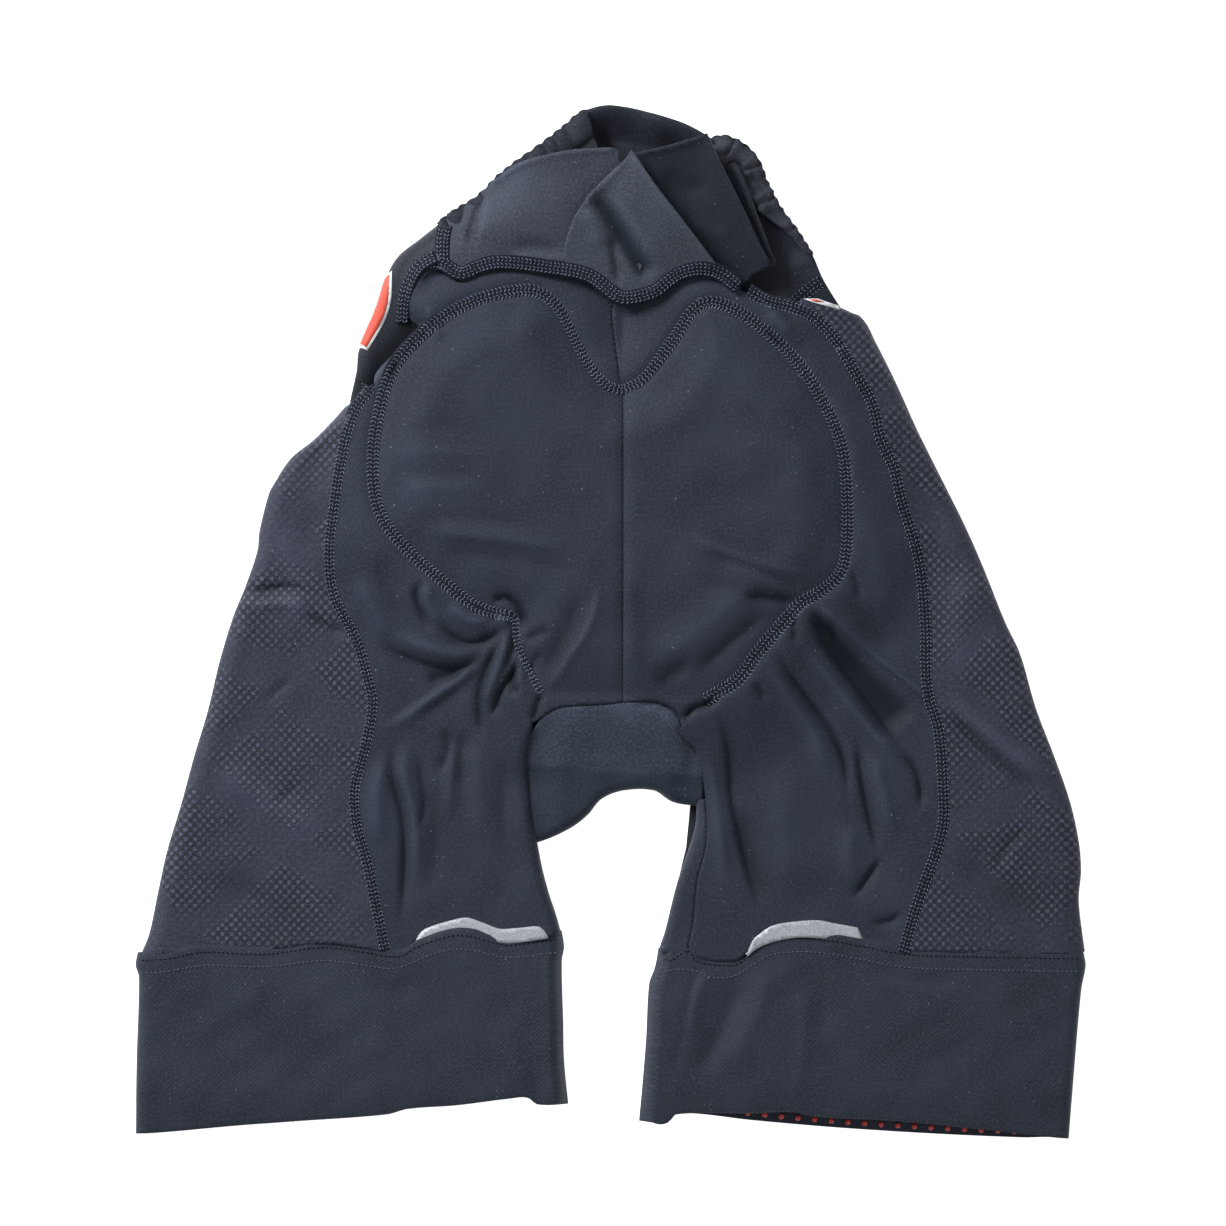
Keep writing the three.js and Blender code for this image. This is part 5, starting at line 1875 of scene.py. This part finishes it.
@dataclass
class Cuffs:
    """The wide smooth cuffs: a double hem with two fine rows of stitches along its top."""

    build: Build
    radius: float = 5.0

    def section(self, side: Side) -> tuple[Run, Run, Run, Run, Run]:
        """The cuff's outline lines.

        Args:
            side: Which side.
        Returns:
            Outer and inner edges as x for y, top line, rear hem and front hem as y for x.
        """
        if side is Side.LEFT:
            outer = Run(((-229, -210.5), (-194, -210), (-157, -209), (-152, -210.5), (-146, -209.5)))
            inner = Run(((-213, -18.2), (-194, -20), (-177, -20.4), (-150, -21), (-144, -20), (-137, -21)))
            hem = Run((
                (-212, -227), (-196, -226), (-164, -223), (-138, -221), (-100, -218), (-91, -215.5),
                (-71, -214),
                (-48, -211), (-40, -210.5), (-36, -213.5), (-22, -213), (-17, -211),
            ))
            front = Run(((-212, -226), (-100, -217), (-40, -210), (-17, -210)))
            return outer, inner, LEFT_CUFF_LINE, hem, front
        outer = Run(((-230, 204), (-203, 206), (-163, 209.5), (-152, 211.5), (-146, 210.5)))
        inner = Run(((-222, 13), (-186, 16), (-160, 17.5), (-153, 20), (-145, 21.5)))
        hem = Run((
            (12, -219), (22, -221), (27, -222.5), (31, -221.5), (34, -218), (67, -217.5), (85, -217),
            (94, -219),
            (129, -221), (160, -224), (196, -228), (206, -229),
        ))
        front = Run(((12, -219), (40, -218), (67, -221), (107, -224.5), (156, -227.5), (206, -229.5)))
        return outer, inner, RIGHT_CUFF_LINE, hem, front

    def height(self, side: Side) -> Surface:
        """Height of a cuff's upper layer.

        Args:
            side: Which side.
        Returns:
            The rule.
        """
        if side is Side.LEFT:
            folds = (
                Fold(((-47, -170), (-44, -190), (-40, -209)), 0.9, 5),
                Fold(((-178, -160), (-150, -170)), 0.5, 8),
                Fold(((-110, -158), (-96, -163), (-84, -158)), -0.5, 4),
                Fold(((-62, -150), (-58, -165)), -0.5, 5),
                Fold(((-36, -200), (-35, -216)), -0.8, 1.6),
            )
        else:
            folds = (
                Fold(((58, -155), (52, -178), (40, -206)), -2.0, 6.0),
                Fold(((72, -152), (66, -172), (56, -200)), 1.3, 6),
                Fold(((86, -158), (87, -180), (87, -212)), 0.8, 3.5),
                Fold(((93, -158), (95, -185)), -0.7, 4),
                Fold(((108, -153), (130, -158), (158, -160)), -0.7, 3),
                Fold(((44, -152), (40, -166), (37, -186)), 1.1, 3),
                Fold(((38, -150), (36, -172), (31, -204)), -0.8, 2.0),
                Fold(((140, -165), (150, -190)), 0.5, 9),
            )

        def top(x: Points, y: Points) -> Points:
            """Height of the upper layer."""
            x, y = paired(x, y)
            z = 10.3 + 0.35 * ripple(x, y, 60, 21) + 0.15 * ripple(x, y, 22, 22)
            z = z - 2.0 * ease(-205, -226, y)
            return sum((fold(x, y) for fold in folds), z)

        return top

    def ring(self, side: Side) -> Lay:
        """How a cuff's flat strip closes into a ring.

        Args:
            side: Which side.
        Returns:
            The rule, which takes shares round the ring, from its inner edge over the top, and down it.
        """
        outer, inner, line, hem, front = self.section(side)
        top, radius = self.height(side), self.radius

        def lay(round_: Points, down: Points) -> Points:
            """Places points by their shares round the ring and down it."""
            low, high = inner(MID_CUFF), outer(MID_CUFF)
            guess = low + (high - low) * np.where(round_ < 0.5, round_ * 2, 2 - round_ * 2)
            blend = ease(0.44, 0.5, round_) * ease(0.56, 0.5, round_)
            blend = blend + ease(0.06, 0, round_) + ease(0.94, 1, round_)
            below = np.where(round_ < 0.5, hem(guess), front(guess))
            below = below + (hem(guess) - below) * np.clip(blend, 0, 1)
            above = line(guess) + CUFF_OVERLAP
            y = above + (below - above) * down
            near, far = inner(y), outer(y)
            flat = np.abs(far - near) - 2 * radius
            height = top(guess, y)
            half = (height - FLOOR_CLOTH) / 2
            turn = math.pi * np.sqrt((radius**2 + half**2) / 2)
            rear = np.mod(round_, 1.0) * (2 * flat + 2 * turn) - turn / 2
            over_far = rear - flat
            under = over_far - turn
            over_near = under - flat
            start = math.pi * np.clip(0.5 + rear / turn, 0, 1)
            bend = math.pi * np.clip(over_far / turn, 0, 1)
            end = math.pi * np.clip(over_near / turn, 0, 0.5)
            stage = [rear < 0, over_far < 0, under < 0, over_near < 0]
            across = np.select(
                stage,
                [radius - radius * np.sin(start), radius + rear, radius + flat + radius * np.sin(bend),
                 radius + flat - under],
                radius - radius * np.sin(end),
            )
            z = np.select(
                stage,
                [FLOOR_CLOTH + half * (1 - np.cos(start)), height, FLOOR_CLOTH + half * (1 + np.cos(bend)),
                 np.full(np.shape(half), FLOOR_CLOTH)],
                FLOOR_CLOTH + half * (1 - np.cos(end)),
            )
            return at(near + side.value * across, y, z)

        return lay

    def cuff(self, side: Side) -> None:
        """Builds one cuff with its stitches.

        Args:
            side: Which side.
        """
        outer, inner, _, _, _ = self.section(side)
        lay, depth = self.ring(side), 78.0
        length = 2 * abs(float(outer(MID_CUFF)) - float(inner(MID_CUFF))) + 10
        columns, rows = 240, 44
        share = (np.arange(columns) / columns)[None, :]
        down = np.concatenate([[0.0, 0.012], np.linspace(0.03, 0.97, rows - 4), [0.985, 1.0]])[:, None]
        u, v = np.broadcast_arrays(share, down)
        points = lay(u.ravel(), v.ravel())
        lip = np.repeat(np.array([0.0, 0.35] + [0.5] * (rows - 4) + [0.4, 0.0]), columns)
        points[:, 2] += np.where(points[:, 2] > 5, lip, 0)
        faces = []
        for j in range(rows - 1):
            for i in range(columns):
                a, b = j * columns + i, j * columns + (i + 1) % columns
                faces.append((a, a + columns, b + columns, b))
        uv = np.column_stack([u.ravel() * length, -v.ravel() * depth])
        made = body_mesh(f"cuff_cloth_{side.word}", points, faces, uv)
        if side is Side.LEFT:
            made.data.flip_normals()
        thickened(made, 1.3, -1.0)
        nodes = (f"cuff_{side.word}", f"cuff_top_band_{side.word}", f"cuff_seam_{side.word}")
        self.build.kept(made, ("cuff", side.word), "cuff_knit", CUFF_KNIT, nodes)
        self.stitches(side)
        self.tape(side)
        self.dots(side)

    def stitches(self, side: Side) -> None:
        """Sews the two fine rows along the top of a cuff.

        Args:
            side: Which side.
        """
        _, _, line, _, _ = self.section(side)
        surface = raised(self.height(side), 0.45)
        start, end = (-208, -23) if side is Side.LEFT else (24, 208)
        path = level(line, start, end, 1.5)
        smooth = np.convolve(np.pad(path[:, 1], 4, mode="edge"), np.ones(9) / 9, mode="valid")
        for name, y, size, thread in (
            ("upper", path[:, 1] - 1.9, 0.5, DARK_THREAD), ("lower", smooth - 7.6, 0.6, ROW_THREAD),
        ):
            row = np.column_stack([path[:, 0], y])
            seam = Seam(f"cuff_row_{name}_{side.word}", row, surface, Stitch.DASHES, 1.0, 2.0, size)
            self.build.sewn(seam, f"{side.word}_leg", (), thread, thread)

    def tape_ends(self, side: Side) -> tuple[int, int]:
        """Where the gripper tape starts and ends across the hem."""
        return (-200, -28) if side is Side.LEFT else (26, 198)

    def tape(self, side: Side) -> None:
        """Builds the gripper tape inside the hem.

        Args:
            side: Which side.
        """
        _, _, _, _, front = self.section(side)
        edge = level(front, *self.tape_ends(side), 4)
        edge[:, 1] += 1.0
        outline = joined(edge, (edge + np.array([0, 27]))[::-1])
        flat = raised(lambda x, y: np.full(np.shape(x), 1.9))
        panel = Panel(f"gripper_band_{side.word}", outline, flat, 5.0, 0.5)
        self.build.cloth(
            panel, f"{side.word}_cuff", "silicone", CUFF_KNIT, (f"gripper_tape_{side.word}",), "laid",
            [f"cuff_cloth_{side.word}"],
        )

    def dots(self, side: Side) -> None:
        """Builds the silicone dots on the gripper tape, in four staggered rows.

        Args:
            side: Which side.
        """
        _, _, _, _, front = self.section(side)
        low, high = self.tape_ends(side)
        pitch = 7.4
        spots = [
            (x, float(front(x)) + 2.6 + 7.0 * row)
            for row in range(4)
            for x in np.arange(low + 6 + pitch / 2 * (row % 2), high - 4, pitch)
        ]
        shape, shape_faces = bead(7)
        points, faces = [], []
        for k, (x, y) in enumerate(spots):
            points.append(shape[:, [1, 2, 0]] * (2.7, 2.7, 1.1) + (x, y, 2.4))
            faces.extend(tuple(v + k * len(shape) for v in face) for face in shape_faces)
        dots = body_mesh(f"gripper_dots_{side.word}", np.concatenate(points), faces)
        recalculated(dots)
        self.build.kept(dots, f"{side.word}_cuff", "silicone", DOT_RED)


@dataclass
class Tabs:
    """The reflective tabs that stand above the cuffs."""

    build: Build

    def tab(self, side: Side) -> None:
        """Builds one tab.

        Args:
            side: Which side.
        """
        if side is Side.LEFT:
            upper = swung((
                (-86.5, -142), (-84, -137.5), (-80, -134.8), (-69, -131.5), (-63, -130.6), (-57, -132.5),
                (-50, -135.2), (-47, -135.6), (-39, -135), (-31, -134.6), (-27, -139),
            ))
            lower = level(LEFT_CUFF_LINE, -27.5, -86) + np.array([0, -1.0])
        else:
            upper = swung((
                (61, -146.5), (63.5, -140.5), (67, -137.5), (74, -133.5), (91, -131.7), (99, -133),
                (106, -134.2), (110, -135),
            ))
            lower = swung((
                (113, -141), (104, -140.6), (94, -139.8), (84, -139.4), (74, -141), (66, -144), (61, -148),
            ))
        panel = Panel(
            f"reflective_film_{side.word}", joined(upper, lower), raised(self.build.top, 0.75), 1.6, 0.3
        )
        self.build.cloth(panel, f"{side.word}_leg", "reflective", SILVER, (f"reflective_tab_{side.word}",))


@dataclass
class Seams:
    """Every sewn line on the outside."""

    build: Build
    sides: SidePanels

    def bridged(self, x: Points, y: Points) -> Points:
        """Height of the upper layer, with the pad's groove bridged by the seam."""
        reach, top = 2.2, self.build.top
        turns = np.arange(8) * math.pi / 4
        around = sum(top(x + reach * math.cos(turn), y + reach * math.sin(turn)) for turn in turns)
        return np.maximum(around / 8, top(x, y) - 0.2)

    def legs(self) -> None:
        """Sews the long side seams and the one over the left hip."""
        top, sewn = raised(self.build.top), self.build.sewn
        left = Seam("side_seam_left", up(LEFT_SEAM, -145, 104), top, Stitch.FLATLOCK, 5.6)
        sewn(left, ("leg", "left"), ("side_seam_leg_left",))
        hip_path = swung(((103, 121), (96, 130), (89, 136), (79, 140), (70, 142), (61, 147)))
        path = followed(up(RIGHT_SEAM, -146, 122), hip_path)
        right = Seam("side_seam_right", path, top, Stitch.FLATLOCK, 6.2)
        sewn(right, ("leg", "right"), ("side_seam_leg_right", "side_seam_hip_right"))
        path = swung(((-77, 162), (-84, 158), (-88.5, 151), (-91, 143), (-92, 133)))
        over_hip = raised(self.sides.hip_left, 1.6)
        hip = Seam("side_seam_sewn_hip_left", path, over_hip, Stitch.FLATLOCK, 5.6)
        sewn(hip, "seat", ("side_seam_hip_left",))

    def pad(self) -> None:
        """Sews the pad on, with a seam that narrows at its two ends and over the middle."""
        seam = Seam(
            "pad_seam_sewn", followed(swung(PAD_LEFT)[::-1], swung(PAD_RIGHT)), raised(self.bridged),
            Stitch.HERRINGBONE, 6.4, 1.8,
            narrow=lambda t: (
                1 - 0.4 * ease(0.075, 0.05, t) - 0.22 * ease(0.42, 0.46, t) * ease(0.58, 0.54, t)
                + 0.18 * ease(0.86, 0.92, t)
            ),
        )
        self.build.sewn(seam, "seat", ("pad_stitching",))

    def yoke(self) -> None:
        """Sews the yoke on, and its left edge to the side."""
        flaps = Yoke(self.build)
        left, middle = flaps.left(), flaps.middle()

        def top(x: Points, y: Points) -> Points:
            """Height of the yoke's lower edge."""
            share = ease(-24, -16, x)
            return left(x, y) * (1 - share) + middle(x, y) * share

        path = level(YOKE_SEAM, -80, 57) - np.array([0, 0.5])
        seam = Seam("yoke_seam_sewn", path, raised(top, 0.5), Stitch.FLATLOCK, 6.0)
        self.build.sewn(seam, "seat", ("yoke_seam",))
        path = swung(((-72.5, 176), (-73.8, 169), (-73.8, 160)))
        self.build.sewn(Seam("side_yoke_seam_left", path, raised(left, 0.5), Stitch.FLATLOCK, 6.2), "seat")

    def fine(self) -> None:
        """Sews the single rows of dark stitches."""
        leg = ("leg", "right")
        for name, path, wide, lift, rides, node in (
            ("centre_seam_sewn", up(CENTRE, -34, 98, 1.5), 1.35, 0.7, "seat", "centre_back_seam"),
            ("centre_seam_sewn_top", up(CENTRE, 108, 143, 1.5), 1.35, 0.7, "seat", "centre_back_seam_top"),
            ("crotch_seam_sewn", level(CROTCH, -32, 33), 1.0, 0.4, "seat", "crotch_seam"),
            ("inseam_sewn_right", up(RIGHT_INSEAM, -147, -46, 1.5), 1.0, 0.5, leg, "inseam_right"),
        ):
            seam = Seam(name, path, raised(self.build.top), Stitch.DASHES, wide, 2.1, lift)
            self.build.sewn(seam, rides, (node,), DARK_THREAD, DARK_THREAD)


@dataclass
class SeatPad:
    """The folded seat pad inside the shorts."""

    build: Build

    def make(self) -> None:
        """Builds the pad's rear half, which holds the cloth up, and its front half on the floor."""
        rear = self.cushion("seat_pad", self.build.top, 1.2, 6.5)
        nodes = ("pad_base_foam", "pad_sit_insert_left", "pad_sit_insert_right", "pad_perineal_insert")
        self.build.kept(rear, "seat", "foam", PAD_FOAM, nodes)
        front = self.cushion("seat_pad_front", lambda x, y: np.full(np.shape(x), 7.0), 0.0, 5.0)
        self.build.kept(front, "seat", "pad_face", PAD_FOAM, ("pad_front_insert", "pad_face_cloth"))

    def cushion(self, name: str, top: Surface, drop: float, thick: float) -> bpy.types.Object:
        """A closed pad between two skins, thinner at its edge.

        Args:
            name: Its name.
            top: The surface that it hangs under.
            drop: How far below that its upper skin lies.
            thick: Its full thickness.
        Returns:
            The pad.
        """
        outline = joined(swung(PAD_LEFT, 3), swung(PAD_RIGHT, 3)[::-1])
        middle = np.array([2.0, 50.0])
        shrunk = middle + (outline - middle) * 0.95
        plan, faces = cut(shrunk, 5.0)
        x, y = plan.T
        off, _, _ = nearest(x, y, closed(shrunk))
        swell = np.sqrt(ease(-1, 14, off))
        high = top(x, y) - drop
        upper, lower = at(x, y, high), at(x, y, high - thick * (0.25 + 0.75 * swell))
        n = len(plan)
        edges = {(a, b) for face in faces for a, b in zip(face, face[1:] + face[:1])}
        sides = [(a, b) for face in faces for a, b in zip(face, face[1:] + face[:1])]
        walls = [(b, a, a + n, b + n) for a, b in dict.fromkeys(sides) if (b, a) not in edges]
        under = [tuple(v + n for v in reversed(face)) for face in faces]
        made = body_mesh(name, np.vstack([upper, lower]), faces + under + walls)
        recalculated(made)
        return made


@dataclass
class Room:
    """The floor, the lights and the camera."""

    def floor(self) -> None:
        """A plain pale floor."""
        bpy.ops.mesh.primitive_plane_add(size=6, location=(0, 0, -0.0002))
        floor = bpy.context.active_object
        floor.name = "floor"
        b = Bench.named("floor")
        b.finish(
            (0.95, 0.95, 0.95), 0.9, Specular_IOR_Level=0.0, Emission_Color=(1, 1, 1, 1),
            Emission_Strength=0.85,
        )
        floor.data.materials.append(b.material)

    def lights(self) -> None:
        """A white surround, a large key light from the upper left and a low fill."""
        world = bpy.data.worlds.new("surround")
        bpy.context.scene.world = world
        world.use_nodes = True
        world.node_tree.nodes["Background"].inputs["Color"].default_value = (1, 1, 1, 1)
        world.node_tree.nodes["Background"].inputs["Strength"].default_value = 0.36
        for name, where, size, power in (
            ("key", (-1.25, 1.15, 1.15), 0.8, 56.0), ("fill", (1.2, -0.2, 2), 1.2, 5.0),
        ):
            lamp = bpy.data.lights.new(name, "AREA")
            lamp.size, lamp.energy = size, power
            made = bpy.data.objects.new(name, lamp)
            bpy.context.collection.objects.link(made)
            made.location = where
            made.rotation_mode = "QUATERNION"
            made.rotation_quaternion = (-Vector(where)).to_track_quat("-Z", "Y")

    def camera(self) -> None:
        """A camera straight above."""
        data = bpy.data.cameras.new("camera")
        made = bpy.data.objects.new("camera", data)
        bpy.context.collection.objects.link(made)
        made.location = (0.00156, 0.00445, 3)
        data.lens, data.sensor_width = 198.0, 36.0
        data.clip_start, data.clip_end = 0.1, 20.0
        bpy.context.scene.camera = made
        bpy.context.scene.view_settings.view_transform = "Standard"


def main() -> None:
    """Builds the shorts in order and reports each piece."""
    logging.basicConfig(level=logging.INFO, format="%(message)s")
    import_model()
    room = Room()
    room.floor()
    room.lights()
    room.camera()
    build = Build()
    SeatPad(build).make()
    for side in Side:
        FrontPanels(build).panel(side)
    crotch = Crotch(build)
    crotch.gusset()
    crotch.strip()
    rear = RearPanels(build)
    rear.left()
    rear.right()
    sides = SidePanels(build)
    for side in Side:
        sides.leg(side)
    sides.hip()
    sides.badge_left()
    sides.badge_right()
    Yoke(build).make()
    waist = Waist(build)
    waist.left()
    waist.middle()
    waist.right()
    waist.inside()
    cuffs = Cuffs(build)
    tabs = Tabs(build)
    for side in Side:
        cuffs.cuff(side)
        tabs.tab(side)
    seams = Seams(build, sides)
    seams.legs()
    seams.pad()
    seams.yoke()
    seams.fine()
    bpy.ops.object.select_all(action="DESELECT")


if __name__ == "__main__":
    main()
